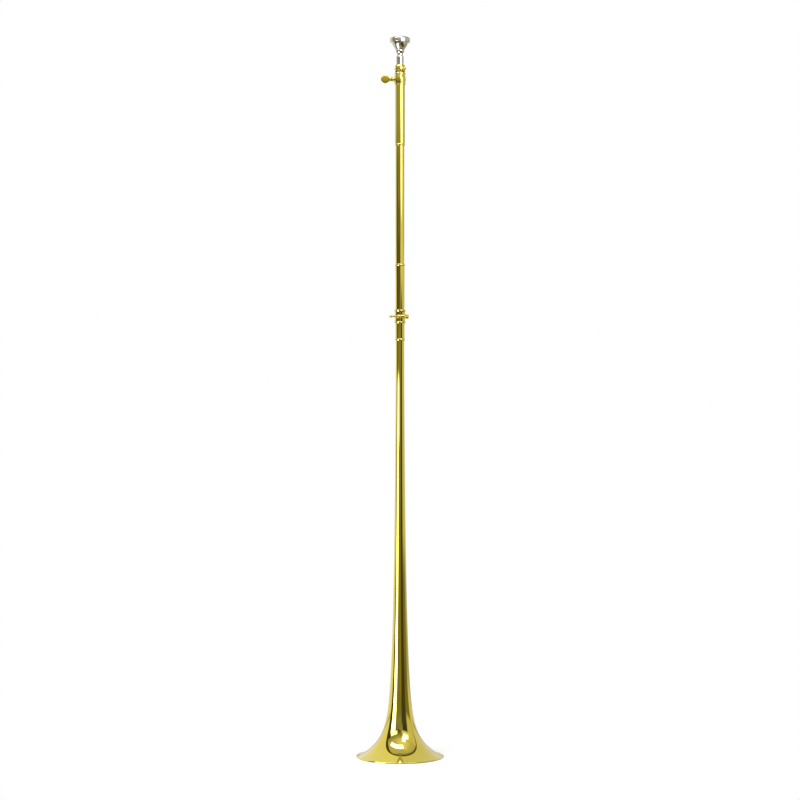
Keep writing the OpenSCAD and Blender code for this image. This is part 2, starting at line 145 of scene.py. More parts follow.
class Tree:
    """Makes nodes in a shader or geometry tree."""

    def __init__(self, owner: bpy.types.NodeTree) -> None:
        """Starts on an empty tree.

        Args:
            owner: The node tree to fill.
        """
        self.owner = owner
        owner.nodes.clear()

    def node(self, kind: str, settings: Optional[dict] = None,
             inputs: Optional[dict] = None) -> bpy.types.Node:
        """Adds a node.

        Args:
            kind: The node's type name.
            settings: Attributes that are set before the inputs, such as a Math node's operation.
            inputs: Values or links by the input's name or index.

        Returns:
            The new node.
        """
        made = self.owner.nodes.new(kind)
        for name, value in (settings or {}).items():
            setattr(made, name, value)
        for name, value in (inputs or {}).items():
            self.feed(made.inputs[name], value)
        return made

    def feed(self, target: bpy.types.NodeSocket, value: object) -> None:
        """Links an output to an input, or sets the input's own value.

        Args:
            target: The input.
            value: An output, or the value that the input takes.
        """
        if isinstance(value, Socket):
            self.owner.links.new(value.output, target)
        else:
            target.default_value = value

    def out(self, kind: str, output: Union[str, int] = 0, settings: Optional[dict] = None,
            inputs: Optional[dict] = None) -> Socket:
        """Adds a node and gives one of its outputs.

        Args:
            kind: The node's type name.
            output: The output's name or index.
            settings: As in node().
            inputs: As in node().

        Returns:
            The output, ready for expressions.
        """
        return Socket(self, self.node(kind, settings, inputs).outputs[output])

    def math(self, operation: str, *terms: Term) -> Socket:
        """Adds a Math node."""
        return self.out("ShaderNodeMath", 0, {"operation": operation}, dict(enumerate(terms)))

    def smooth(self, value: Term, low: Term, high: Term) -> Socket:
        """Gives 0 below low, 1 above high and a smooth rise between."""
        return self.out("ShaderNodeMapRange", 0, {"interpolation_type": "SMOOTHSTEP"},
                        {"Value": value, "From Min": low, "From Max": high})

    def split(self, vector: Socket) -> tuple[Socket, Socket, Socket]:
        """Takes a vector apart."""
        made = self.node("ShaderNodeSeparateXYZ", None, {0: vector})
        return tuple(Socket(self, made.outputs[i]) for i in range(3))

    def vector(self, x: Term, y: Term, z: Term) -> Socket:
        """Puts a vector together."""
        return self.out("ShaderNodeCombineXYZ", 0, None, {0: x, 1: y, 2: z})

    def blend(self, factor: Term, first: Paint, second: Paint) -> Socket:
        """Mixes two colours.

        Args:
            factor: 0 for the first colour and 1 for the second.
            first: A colour or a socket.
            second: A colour or a socket.

        Returns:
            The mixed colour.
        """
        made = self.node("ShaderNodeMix", {"data_type": "RGBA"}, {0: factor})
        for index, colour in ((6, first), (7, second)):
            self.feed(made.inputs[index], colour if isinstance(colour, Socket) else (*colour, 1.0))
        return Socket(self, made.outputs[2])

    def reach(self, x: Socket, y: Socket) -> Socket:
        """Gives the distance from the axis."""
        return self.math("SQRT", x * x + y * y)


class MaterialTree(Tree):
    """The shader tree of a new material."""

    def __init__(self, name: str) -> None:
        """Makes the material with an empty tree.

        Args:
            name: The material's name.
        """
        self.material = bpy.data.materials.new(name)
        self.material.use_nodes = True
        super().__init__(self.material.node_tree)

    def light(self, colour: object, strength: float = 1.0) -> Socket:
        """Adds an even light."""
        return self.out("ShaderNodeEmission", 0, None, {"Color": colour, "Strength": strength})

    def over(self, mask: Term, first: Socket, second: Socket) -> Socket:
        """Mixes two shaders, the first where the mask is 0 and the second where it is 1."""
        return self.out("ShaderNodeMixShader", 0, None, {0: mask, 1: first, 2: second})

    def clear(self) -> Socket:
        """Adds a shader that lets everything through."""
        return self.out("ShaderNodeBsdfTransparent")

    def deliver(self, shader: Socket) -> bpy.types.Material:
        """Ends the tree in a shader and gives its material."""
        self.node("ShaderNodeOutputMaterial", None, {"Surface": shader})
        return self.material


def towards(level: Term, goal: Term, mask: Socket) -> Socket:
    """Moves a level to a goal where a mask is 1, and leaves it where the mask is 0."""
    return mask * (goal - level) + level


class Marks(Enum):
    """The fine lines that a way of making leaves in metal."""

    SPUN = "rings left by spinning or turning"
    DRAWN = "lines left along a drawn tube"
    LAPPED = "satin lines left along a lapped slide"


@dataclass(frozen=True)
class Grain:
    """A noise, with its scale per metre, its detail and its roughness."""

    scale: float
    detail: float
    roughness: float

    def over(self, tree: Tree, vector: Socket) -> Socket:
        """Adds the noise over a vector."""
        return tree.out("ShaderNodeTexNoise", "Fac", {"noise_dimensions": "3D"}, {
            "Vector": vector, "Scale": self.scale, "Detail": self.detail, "Roughness": self.roughness})


CLOUDS = Grain(38.0, 4.0, 0.55)
SMUDGES = Grain(21.0, 3.0, 0.6)
RINGS = Grain(2600.0, 5.0, 0.65)
STREAKS = Grain(2100.0, 4.0, 0.6)
SCRATCHES = Grain(950.0, 2.0, 0.5)


@dataclass(frozen=True)
class Metal:
    """A polished metal with the lines, smudges and tarnish that it has in real life; its tarnish colour
    also paints shade where an outline marks it.

    The line height is in millimetres, and each share says how far a mark takes the colour along.
    """

    name: str
    colour: Colour
    warm: Colour
    tarnish: Colour
    marks: Marks
    polish: float = 0.045
    smudge: float = 0.05
    line_height: float = 0.0004
    coat: float = 1.0
    coat_ior: float = 1.6
    coat_polish: float = 0.02
    cloud_share: float = 0.55
    line_share: float = 0.10
    tarnish_share: float = 0.55
    edge_share: float = 0.35
    edge_gain: float = 1.08
    line_dull: float = 0.25
    tarnish_dull: float = 0.12
    scratch_dull: float = 0.06
    scratch_depth: float = 0.8
    relief: float = 0.6

    def material(self) -> bpy.types.Material:
        """Builds the material.

        Returns:
            The finished material.
        """
        tree = MaterialTree(self.name)
        place = tree.out("ShaderNodeTexCoord", "Object")
        along = tree.out("ShaderNodeAttribute", "Fac", {"attribute_name": "along"})
        wear = tree.out("ShaderNodeAttribute", "Fac", {"attribute_name": "wear"})
        x, y, z = tree.split(place)

        cloud = CLOUDS.over(tree, place)
        patch = SMUDGES.over(tree, tree.vector(x + 0.3, y - 0.2, z * 0.35))
        lines = self._lines(tree, x, y, z, along)
        scratch = self._scratches(tree, x, y, z)
        # Wear below 0 takes the colour towards the tarnish colour: tarnish in hollows, and painted shade in
        # the receiver's groove
        corner = tree.smooth(-wear, 0.05, 0.9)
        edge = tree.smooth(wear, 0.1, 0.9)

        toned = tree.blend(tree.smooth(cloud, 0.35, 0.75) * self.cloud_share, self.colour, self.warm)
        lined = tree.blend(tree.smooth(lines, 0.3, 0.8) * self.line_share, toned, self.warm)
        tarnish_and_shade = tree.blend(corner * self.tarnish_share, lined, self.tarnish)
        bright = tuple(min(1.0, part * self.edge_gain) for part in self.colour)
        worn = tree.blend(edge * self.edge_share, tarnish_and_shade, bright)

        rough = (self.polish + tree.smooth(patch, 0.45, 0.8) * self.smudge
                 + tree.smooth(lines, 0.4, 0.9) * (self.line_dull * self.smudge)
                 + corner * self.tarnish_dull + scratch * self.scratch_dull)
        bump = tree.out("ShaderNodeBump", "Normal", None, {
            "Strength": self.relief, "Distance": self.line_height * MM,
            "Height": lines - scratch * self.scratch_depth})
        return tree.deliver(tree.out("ShaderNodeBsdfPrincipled", 0, None, {
            "Base Color": worn, "Metallic": 1.0, "Roughness": rough, "Normal": bump,
            "Coat Weight": self.coat, "Coat Roughness": self.coat_polish, "Coat IOR": self.coat_ior}))

    def _lines(self, tree: Tree, x: Socket, y: Socket, z: Socket, along: Socket) -> Socket:
        """Draws the fine lines that this metal's way of making leaves.

        Args:
            tree: The material's tree.
            x: The place's three parts, here and in the next two.
            y: The second part.
            z: The third part.
            along: The way travelled along a spun piece's outline.

        Returns:
            The lines, from 0 to 1.
        """
        if self.marks is Marks.SPUN:
            return RINGS.over(tree, tree.vector(x * 0.02, y * 0.02, along))
        stretch = 0.012 if self.marks is Marks.DRAWN else 0.03
        return STREAKS.over(tree, tree.vector(x, y, z * stretch))

    @staticmethod
    def _scratches(tree: Tree, x: Socket, y: Socket, z: Socket) -> Socket:
        """Draws the few fine scratches that handling and wiping leave."""
        slanted = tree.vector(x + z * 0.35, y + z * 0.22, z * 0.04)
        return tree.smooth(SCRATCHES.over(tree, slanted), 0.70, 0.76)


BRASS_LIGHT = (0.76, 0.610, 0.036)
BRASS_WARM = (0.73, 0.555, 0.024)
BRASS_TARNISH = (0.30, 0.180, 0.022)


@dataclass(frozen=True)
class Finishes:
    """Every finish on the horn, by the part that wears it."""

    spun: Metal = Metal("spun_brass", BRASS_LIGHT, BRASS_WARM, BRASS_TARNISH, Marks.SPUN)
    drawn: Metal = Metal("drawn_brass", BRASS_LIGHT, BRASS_WARM, BRASS_TARNISH, Marks.DRAWN)
    # The fittings' tarnish is darker and takes more of the colour: tarnish in their hollows, and painted
    # shade in the receiver's groove
    fitting: Metal = Metal("turned_brass", (0.76, 0.600, 0.040), (0.72, 0.530, 0.028), (0.13, 0.080, 0.012),
                           Marks.SPUN, polish=0.06, smudge=0.07, line_height=0.001, tarnish_share=0.92)
    screw: Metal = Metal("screw_brass", (0.74, 0.580, 0.040), (0.69, 0.500, 0.028), BRASS_TARNISH,
                         Marks.SPUN, polish=0.085, smudge=0.09, line_height=0.0014, coat=0.3,
                         tarnish_share=0.8)
    slide: Metal = Metal("lapped_brass", (0.76, 0.62, 0.22), (0.72, 0.55, 0.16), BRASS_TARNISH,
                         Marks.LAPPED, polish=0.2, smudge=0.1, line_height=0.006, coat=0.0)
    wire: Metal = Metal("wire_brass", (0.74, 0.58, 0.20), (0.70, 0.52, 0.14), BRASS_TARNISH,
                        Marks.DRAWN, polish=0.25, coat=0.0)
    silver: Metal = Metal("silver_plate", (0.64, 0.585, 0.430), (0.59, 0.525, 0.360), (0.20, 0.160, 0.090),
                          Marks.SPUN, polish=0.11, smudge=0.06, line_height=0.001, coat=0.15)

    def materials(self) -> dict[str, bpy.types.Material]:
        """Builds every finish once.

        Returns:
            The materials by their short names.
        """
        return {name: getattr(self, name).material() for name in self.__dataclass_fields__}


def eased(corners: Sequence[Sequence[float]], closed: bool = True) -> Outline:
    """Rounds an outline's corners and adds the rings that keep long faces straight.

    Args:
        corners: Radius, height and, where the corner is rounded, its radius; a fourth number is its wear.
        closed: Whether the last corner joins the first.

    Returns:
        Radius, height and wear: 1 on a rounded edge, -1 in a rounded corner, else 0.
    """
    rounded: Outline = []
    count = len(corners)
    for i, corner in enumerate(corners):
        here = Vector(corner[:2])
        ease = corner[2] if len(corner) > 2 else 0.0
        if ease == 0 or (not closed and i in (0, count - 1)):
            rounded.append((here.x, here.y, corner[3] if len(corner) > 3 else 0.0))
            continue
        back = Vector(corners[i - 1][:2]) - here
        ahead = Vector(corners[(i + 1) % count][:2]) - here
        half = back.angle(ahead) / 2
        reach = min(ease / math.tan(half), CORNER_REACH * back.length, CORNER_REACH * ahead.length)
        radius = reach * math.tan(half)
        centre = here + (back.normalized() + ahead.normalized()).normalized() * radius / math.sin(half)
        start = here + back.normalized() * reach - centre
        end = here + ahead.normalized() * reach - centre
        sweep = -start.angle_signed(end)
        wear = 1.0 if sweep > 0 else -1.0
        for step in range(CORNER_STEPS + 1):
            turn = Matrix.Rotation(sweep * step / CORNER_STEPS, 2)
            point = centre + turn @ start
            rounded.append((point.x, point.y, wear))
    return held(rounded, closed)


def held(points: Outline, closed: bool) -> Outline:
    """Adds rings close to both ends of each long face, and at even steps along it.

    Args:
        points: The outline's points.
        closed: Whether the last point joins the first.

    Returns:
        The outline with its added points.
    """
    full: Outline = []
    last = len(points) if closed else len(points) - 1
    for i, point in enumerate(points):
        full.append(point)
        if i >= last:
            continue
        after = points[(i + 1) % len(points)]
        length = math.dist(point[:2], after[:2])
        if length < 4 * HOLD:
            continue
        inner = max(1, math.ceil((length - 2 * HOLD) / LONGEST_STEP))
        stations = [HOLD + (length - 2 * HOLD) * k / inner for k in range(inner + 1)]
        for share in (station / length for station in stations):
            full.append((point[0] + (after[0] - point[0]) * share,
                         point[1] + (after[1] - point[1]) * share, 0.0))
    return full


def clamped(share: float) -> float:
    """Keeps a share between 0 and 1."""
    return min(1.0, max(0.0, share))


def stretch(count: int, rule: Callable[[float], tuple[float, float]]) -> list[tuple[float, float]]:
    """Takes even steps along a rule from 0 to 1, without its first point."""
    return [rule(i / count) for i in range(1, count + 1)]


def lying(depth: float, height: float, side: int = 1) -> Matrix:
    """Gives the place of a piece that lies across the bore, along +X or, with side -1, along -X."""
    return Matrix.Translation((0, depth, height)) @ Matrix.Rotation(side * QUARTER, 4, "Y")


def middle_of(node: str, axis: str = "z") -> float:
    """Gives the middle of a CAD node's box along one axis, in millimetres."""
    return sum(getattr(corner, axis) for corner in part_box(node)) / 2 / MM


class Joining(Enum):
    """What one solid does to another."""

    ADD = "UNION"
    CUT = "DIFFERENCE"


class Workshop:
    """Makes meshes in millimetres and turns them into dressed pieces."""

    def __init__(self, materials: dict[str, bpy.types.Material]) -> None:
        """Keeps the finishes at hand.

        Args:
            materials: The materials by their short names.
        """
        self.materials = materials

    @staticmethod
    def object_from(name: str, mesh: bpy.types.Mesh) -> bpy.types.Object:
        """Puts a mesh into the scene.

        Args:
            name: The object's name.
            mesh: Its mesh.

        Returns:
            The new object.
        """
        made = bpy.data.objects.new(name, mesh)
        bpy.context.scene.collection.objects.link(made)
        return made

    def turned(self, name: str, outline: Outline, closed: bool = True,
               around: int = AROUND) -> bpy.types.Object:
        """Turns an outline about +Z.

        Args:
            name: The object's name.
            outline: Radius, height and wear, with the metal on the left of its direction.
            closed: Whether the last point joins the first; otherwise both ends lie on the axis.
            around: Steps round the axis.

        Returns:
            The object, still in millimetres.
        """
        vertices: list[tuple[float, float, float]] = []
        along: list[float] = []
        wear: list[float] = []
        rings: list[list[int]] = []
        travelled = 0.0
        before = outline[0]
        for point in outline:
            travelled += math.dist(before[:2], point[:2])
            before = point
            radius, height, worn = point
            first = len(vertices)
            steps = 1 if radius < ON_AXIS else around
            for step in range(steps):
                angle = TAU * step / around
                vertices.append((radius * math.cos(angle), radius * math.sin(angle), height))
            along += [travelled * MM] * steps
            wear += [worn] * steps
            rings.append([first + (step if steps > 1 else 0) for step in range(around)])
        faces = []
        pairs = list(zip(rings, rings[1:])) + ([(rings[-1], rings[0])] if closed else [])
        for low, high in pairs:
            for step in range(around):
                after = (step + 1) % around
                corners = (low[step], low[after], high[after], high[step])
                faces.append(tuple(dict.fromkeys(corners)))
        mesh = bpy.data.meshes.new(name)
        mesh.from_pydata(vertices, [], faces)
        self.attribute(mesh, "along", along)
        self.attribute(mesh, "wear", wear)
        return self.object_from(name, mesh)

    def plug(self, name: str, radius: float, bottom: float, top: float,
             around: int = AROUND) -> bpy.types.Object:
        """Makes a rod along +Z that drills a hole.

        Args:
            name: The object's name.
            radius: Its radius.
            bottom: Where it starts.
            top: Where it ends.
            around: Steps round the axis.

        Returns:
            The rod, still in millimetres.
        """
        return self.turned(name, [(0.0, bottom, 0.0), (radius, bottom, 0.0), (radius, top, 0.0),
                                  (0.0, top, 0.0)], closed=False, around=around)

    @staticmethod
    def attribute(mesh: bpy.types.Mesh, name: str, values: Sequence[float]) -> None:
        """Stores one number on each vertex."""
        mesh.attributes.new(name, "FLOAT", "POINT").data.foreach_set("value", values)

    def lofted(self, name: str, stations: Iterable[tuple[float, float, float, float]],
               sides: int = 72) -> bpy.types.Object:
        """Skins rounded sections along +Z, closed at both ends.

        Args:
            name: The object's name.
            stations: Height, half width along X, half thickness along Y and the section's squareness,
                2 for an ellipse and more for a flatter face.
            sides: Steps round each section.

        Returns:
            The object, still in millimetres.
        """
        mesh = bpy.data.meshes.new(name)
        vertices: list[tuple[float, float, float]] = []
        faces: list[tuple[int, ...]] = []
        stations = list(stations)
        for height, width, thickness, power in stations:
            for step in range(sides):
                angle = TAU * step / sides
                cosine, sine = math.cos(angle), math.sin(angle)
                vertices.append((
                    math.copysign(abs(cosine) ** (2 / power), cosine) * width,
                    math.copysign(abs(sine) ** (2 / power), sine) * thickness, height))
        for row in range(len(stations) - 1):
            for step in range(sides):
                after = (step + 1) % sides
                faces.append((row * sides + step, row * sides + after,
                              (row + 1) * sides + after, (row + 1) * sides + step))
        for row, order in ((0, -1), (len(stations) - 1, 1)):
            vertices.append((0.0, 0.0, stations[row][0]))
            middle = len(vertices) - 1
            ring = [row * sides + step for step in range(sides)][::order]
            faces += [(ring[i - 1], ring[i], middle) for i in range(sides)]
        mesh.from_pydata(vertices, [], faces)
        self.attribute(mesh, "along", [v[2] * MM for v in vertices])
        return self.object_from(name, mesh)

    @staticmethod
    def block(name: str, low: Sequence[float], high: Sequence[float]) -> bpy.types.Object:
        """Makes a plain block, which only cuts other pieces.

        Args:
            name: The object's name.
            low: Its lowest corner.
            high: Its highest corner.

        Returns:
            The block, still in millimetres.
        """
        mesh = bpy.data.meshes.new(name)
        build = bmesh.new()
        bmesh.ops.create_cube(build, size=1.0)
        for vertex in build.verts:
            vertex.co = Vector(low[i] + (high[i] - low[i]) * (vertex.co[i] + 0.5) for i in range(3))
        build.to_mesh(mesh)
        build.free()
        return Workshop.object_from(name, mesh)

    @staticmethod
    def place(piece: bpy.types.Object, matrix: Matrix) -> bpy.types.Object:
        """Moves a piece's mesh, while its object stays at the origin."""
        piece.data.transform(matrix)
        return piece

    def combine(self, piece: bpy.types.Object, tool: bpy.types.Object,
                operation: Joining) -> bpy.types.Object:
        """Joins a tool to a piece or cuts it away, and deletes the tool.

        Args:
            piece: The piece that is changed.
            tool: The other solid.
            operation: What is done with it.

        Returns:
            The changed piece.
        """
        step = piece.modifiers.new("combine", "BOOLEAN")
        step.operation = operation.value
        step.solver = "EXACT"
        step.object = tool
        self.apply(piece)
        bpy.data.objects.remove(tool)
        return piece

    @staticmethod
    def apply(piece: bpy.types.Object) -> None:
        """Turns a piece and its modifiers into a plain mesh.

        Args:
            piece: The piece, which loses its modifiers.
        """
        bpy.context.view_layer.update()
        evaluated = piece.evaluated_get(bpy.context.evaluated_depsgraph_get())
        mesh = bpy.data.meshes.new_from_object(evaluated)
        piece.modifiers.clear()
        old = piece.data
        piece.data = mesh
        bpy.data.meshes.remove(old)

    def grown(self, piece: bpy.types.Object, tree: bpy.types.NodeTree,
              sizes: dict[str, object]) -> bpy.types.Object:
        """Runs a geometry tree on a piece and keeps its result as a plain mesh.

        Args:
            piece: The piece that the tree starts from.
            tree: The geometry tree.
            sizes: The values of its named inputs.

        Returns:
            The piece, still in millimetres.
        """
        step = piece.modifiers.new("grow", "NODES")
        step.node_group = tree
        for item in tree.interface.items_tree:
            if item.item_type == "SOCKET" and item.in_out == "INPUT" and item.name in sizes:
                step[item.identifier] = sizes[item.name]
        self.apply(piece)
        return piece

    def grown_alone(self, name: str, tree: bpy.types.NodeTree,
                    sizes: dict[str, object]) -> bpy.types.Object:
        """Runs a geometry tree that makes a whole piece."""
        return self.grown(self.object_from(name, bpy.data.meshes.new(name)), tree, sizes)

    def finish(self, piece: bpy.types.Object, body: str, nodes: Sequence[str], finish: str,
               slot: str) -> bpy.types.Object:
        """Scales a piece to metres, dresses it and hands it to its body.

        Args:
            piece: The piece in millimetres.
            body: The body that it rides on.
            nodes: The CAD nodes that it replaces.
            finish: The material's short name.
            slot: The record's material slot; not used.

        Returns:
            The finished piece.
        """
        mesh = piece.data
        mesh.transform(Matrix.Scale(MM, 4))
        mesh.materials.clear()
        mesh.materials.append(self.materials[finish])
        for polygon in mesh.polygons:
            polygon.use_smooth = True
        mesh.set_sharp_from_angle(angle=SHARP)
        mesh.update()
        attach(piece, body)
        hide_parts(*nodes)
        LOG.info("%s: %d faces on %s", piece.name, len(mesh.polygons), body)
        return piece


@dataclass(frozen=True)
class Extent:
    """Where a round CAD node lies about the bore, in millimetres."""

    radius: float
    bottom: float
    top: float

    @staticmethod
    def of(node: str) -> "Extent":
        """Measures a node of the frame."""
        low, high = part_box(node)
        return Extent(max(high.x, -low.x, high.y, -low.y) / MM, low.z / MM, high.z / MM)


class GeometryTree(Tree):
    """A geometry tree with named inputs, whose result is one plain mesh."""

    def __init__(self, name: str) -> None:
        """Makes an empty tree with its geometry output.

        Args:
            name: The tree's name.
        """
        super().__init__(bpy.data.node_groups.new(name, "GeometryNodeTree"))
        self.owner.interface.new_socket("Geometry", in_out="OUTPUT", socket_type="NodeSocketGeometry")
        self.inlet = self.node("NodeGroupInput")

    def size(self, name: str, kind: str = "Float") -> Socket:
        """Adds a named input and gives its socket."""
        self.owner.interface.new_socket(name, in_out="INPUT", socket_type=f"NodeSocket{kind}")
        return Socket(self, self.inlet.outputs[name])

    def grid(self, around: Socket, rows: Socket) -> tuple[Socket, Socket, Socket]:
        """Adds a flat grid.

        Args:
            around: Faces round the axis.
            rows: Faces along it.

        Returns:
            The grid, its share round the axis and its share along it, both from 0 to 1.
        """
        made = self.node("GeometryNodeMeshGrid", None, {
            "Size X": 1.0, "Size Y": 1.0, "Vertices X": around + 1, "Vertices Y": rows + 1})
        x, y, _ = self.split(self.out("GeometryNodeInputPosition"))
        return Socket(self, made.outputs["Mesh"]), x + 0.5, y + 0.5

    def marked(self, mesh: Socket, name: str, value: Term) -> Socket:
        """Stores a number on each point of a mesh."""
        return self.out("GeometryNodeStoreNamedAttribute", 0, {"data_type": "FLOAT", "domain": "POINT"},
                        {"Geometry": mesh, "Name": name, "Value": value})

    def wrapped(self, mesh: Socket, turn: Socket, radius: Term, height: Term,
                marks: dict[str, Term]) -> Socket:
        """Wraps a grid round +Z.

        Args:
            mesh: The grid.
            turn: Its share round the axis.
            radius: The radius at each point.
            height: The height at each point.
            marks: Numbers to store on the points.

        Returns:
            The wrapped grid.
        """
        kept = mesh
        for name, value in marks.items():
            kept = self.marked(kept, name, value)
        angle = turn * TAU
        position = self.vector(self.math("COSINE", angle) * radius,
                               self.math("SINE", angle) * radius, height)
        return self.out("GeometryNodeSetPosition", 0, None, {"Geometry": kept, "Position": position})

    def deliver(self, parts: Sequence[Socket], weld: float, material: Socket) -> bpy.types.NodeTree:
        """Joins the parts, welds their seams and ends the tree.

        Args:
            parts: The meshes to join.
            weld: How close two points lie that become one.
            material: The material's socket.

        Returns:
            The finished tree.
        """
        join = self.node("GeometryNodeJoinGeometry")
        for part in reversed(parts):
            self.owner.links.new(part.output, join.inputs[0])
        joined = Socket(self, join.outputs[0])
        real = self.out("GeometryNodeRealizeInstances", 0, None, {"Geometry": joined})
        welded = self.out("GeometryNodeMergeByDistance", 0, None, {"Geometry": real, "Distance": weld})
        dressed = self.out("GeometryNodeSetMaterial", 0, None, {"Geometry": welded, "Material": material})
        self.node("NodeGroupOutput", None, {"Geometry": dressed})
        return self.owner


@dataclass
class BellShape:
    """The bell's outline: a cylinder at the tail, a cone, a long swell and a short flare."""

    radius: float = 58.5
    length: float = 566.0
    wall: float = 0.45
    wire: float = 0.45
    wire_gap: float = 0.02
    rim_flat: float = 0.8
    tail: float = 5.75
    tail_bottom: float = 555.0
    cone_swell: float = 2.3
    cone_top: float = 496.0
    throat_swell: float = 12.8
    throat_fade: float = 117.0
    flare_fade: float = 19.5
    crowding: float = 4.5

    def __post_init__(self) -> None:
        """Works out the rolled rim and what the flare adds."""
        self.bore = self.wire + self.wire_gap
        self.bead = self.bore + self.wall
        self.bead_height = math.sqrt(self.bead ** 2 - self.rim_flat ** 2 / 4)
        self.bead_centre = self.radius - self.bead
        self.tail_swell = math.exp(-self.tail_bottom / self.throat_fade)
        slope = (self.cone_swell / self.cone_top + self.throat_swell / self.throat_fade
                 + (self.bead_centre - self.tail - self.cone_swell - self.throat_swell) / self.flare_fade)
        slant = math.hypot(1, slope)
        mouth = self.bead_centre + self.bead_height * slope - self.bore * slant
        self.flare_swell = mouth - self.tail - self.cone_swell - self.throat_swell * (1 - self.tail_swell)
        chord = math.sqrt(self.bead ** 2 - self.bore ** 2)
        crease = (-self.bore - chord * slope) / slant, (-self.bore * slope + chord) / slant
        self.outside_bottom = self.bead_height + crease[1]
        self.inside_bottom = self.bead_height - self.bead * slope / slant
        self.bead_start = math.atan2(-slope, -1)
        self.bead_end = math.atan2(crease[1], crease[0]) % TAU


@dataclass
class BellSection:
    """The bell with its socket, ring and split clamp."""

    shop: Workshop
    shape: BellShape = field(default_factory=BellShape)
    body: str = "bell_section"
    around: int = 192
    rows: int = 150
    bead_rows: int = 32
    slit: float = 0.6
    sleeve_wall: float = 0.38
    edge: float = 0.14
    clamp_wall: float = 0.85
    clamp_bead: float = 0.5
    clamp_bead_foot: float = 0.1
    clamp_bead_height: float = 2.4
    clamp_lip: float = 0.15
    lug: float = 2.2
    lug_waist: float = 0.86
    lug_ahead: float = 1.5
    lug_left: float = -3.5
    lug_right: float = 6.1
    screw_hole: float = 1.23

    def build(self) -> None:
        """Builds every piece of the section."""
        self.bell()
        self.rim_wire()
        self.tail_socket()
        self.tail_ring()
        self.joint_clamp()

    def bell(self) -> bpy.types.Object:
        """Grows the bell from its rule.

        Returns:
            The bell.
        """
        tree = self._bell_tree()
        shape = self.shape
        piece = self.shop.grown_alone("bell_shell", tree, {
            "Length": shape.length, "Wall": shape.wall, "Tail radius": shape.tail,
            "Cone swell": shape.cone_swell, "Cone top": shape.cone_top,
            "Throat swell": shape.throat_swell, "Throat fade": shape.throat_fade,
            "Flare swell": shape.flare_swell, "Flare fade": shape.flare_fade,
            "Tail swell": shape.tail_swell, "Outside bottom": shape.outside_bottom,
            "Inside bottom": shape.inside_bottom, "Bead centre": shape.bead_centre,
            "Bead height": shape.bead_height, "Bead radius": shape.bead, "Bead start": shape.bead_start,
            "Bead end": shape.bead_end, "Crowding": shape.crowding, "Around": self.around,
            "Rows": self.rows, "Bead rows": self.bead_rows, "Metal": self.shop.materials["spun"]})
        return self.shop.finish(piece, self.body, ["bell"], "spun", "lacquered_brass")

    @staticmethod
    def _bell_tree() -> bpy.types.NodeTree:
        """Builds the tree that wraps grids into the bell's outside, inside, rim and tail end.

        Returns:
            The finished tree.
        """
        tree = GeometryTree("bell_rule")
        length, wall = tree.size("Length"), tree.size("Wall")
        tail, tail_swell = tree.size("Tail radius"), tree.size("Tail swell")
        cone_swell, cone_top = tree.size("Cone swell"), tree.size("Cone top")
        throat_swell, throat_fade = tree.size("Throat swell"), tree.size("Throat fade")
        flare_swell, flare_fade = tree.size("Flare swell"), tree.size("Flare fade")
        outside_bottom, inside_bottom = tree.size("Outside bottom"), tree.size("Inside bottom")
        centre, height = tree.size("Bead centre"), tree.size("Bead height")
        bead, start, end = tree.size("Bead radius"), tree.size("Bead start"), tree.size("Bead end")
        crowding = tree.size("Crowding")
        around, rows = tree.size("Around", "Int"), tree.size("Rows", "Int")
        bead_rows, metal = tree.size("Bead rows", "Int"), tree.size("Metal", "Material")

        def climb(share: Socket, bottom: Socket) -> Socket:
            """Gives the height at a share of the sheet, with its rows crowded towards the mouth."""
            part = (tree.math("EXPONENT", crowding * share) - 1) / (tree.math("EXPONENT", crowding) - 1)
            return bottom + (length - bottom) * part

        def outside(z: Socket) -> Socket:
            """Gives the outside radius at a height.

            Args:
                z: The height.

            Returns:
                The radius.
            """
            cone = cone_swell * (1 - tree.math("MINIMUM", z, cone_top) / cone_top)
            throat = throat_swell * (tree.math("EXPONENT", -z / throat_fade) - tail_swell)
            flare = flare_swell * tree.math("EXPONENT", -z / flare_fade)
            return tail + tree.math("MAXIMUM", cone + throat + flare, 0.0)

        def lean(z: Socket) -> Socket:
            """Gives how much longer the wall is across the bore than square to the sheet."""
            slope = (cone_swell / cone_top + throat_swell / throat_fade
                     * tree.math("EXPONENT", -z / throat_fade)
                     + flare_swell / flare_fade * tree.math("EXPONENT", -z / flare_fade))
            return tree.math("SQRT", slope * slope + 1)

        parts = []
        grid, turn, share = tree.grid(around, rows)
        z = climb(share, outside_bottom)
        radius = outside(z)
        parts.append(tree.wrapped(grid, turn, radius, z, {"along": (z - radius) * MM}))

        grid, turn, share = tree.grid(around, rows)
        z = climb(1 - share, inside_bottom)
        radius = outside(z) - wall * lean(z)
        parts.append(tree.wrapped(grid, turn, radius, z, {"along": (z - radius) * MM}))

        grid, turn, share = tree.grid(around, bead_rows)
        angle = start + (end - start) * share
        radius = centre + tree.math("COSINE", angle) * bead
        z = tree.math("MAXIMUM", height + tree.math("SINE", angle) * bead, 0.0)
        crease = tree.smooth(share, 0.93, 1.0)
        shine, tarnish = 0.6, 1.6
        parts.append(tree.wrapped(grid, turn, radius, z, {
            "along": share * bead * (5 * MM), "wear": shine - crease * tarnish}))

        grid, turn, share = tree.grid(around, bead_rows)
        radius = tail - wall * share
        parts.append(tree.wrapped(grid, turn, radius, length, {"along": share * MM}))
        return tree.deliver(parts, 0.04, metal)

    def rim_wire(self) -> None:
        """Dresses the wire inside the rolled rim, which keeps its CAD shape."""
        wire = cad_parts["rim_wire"]
        wire.data.materials.clear()
        wire.data.materials.append(self.shop.materials["wire"])

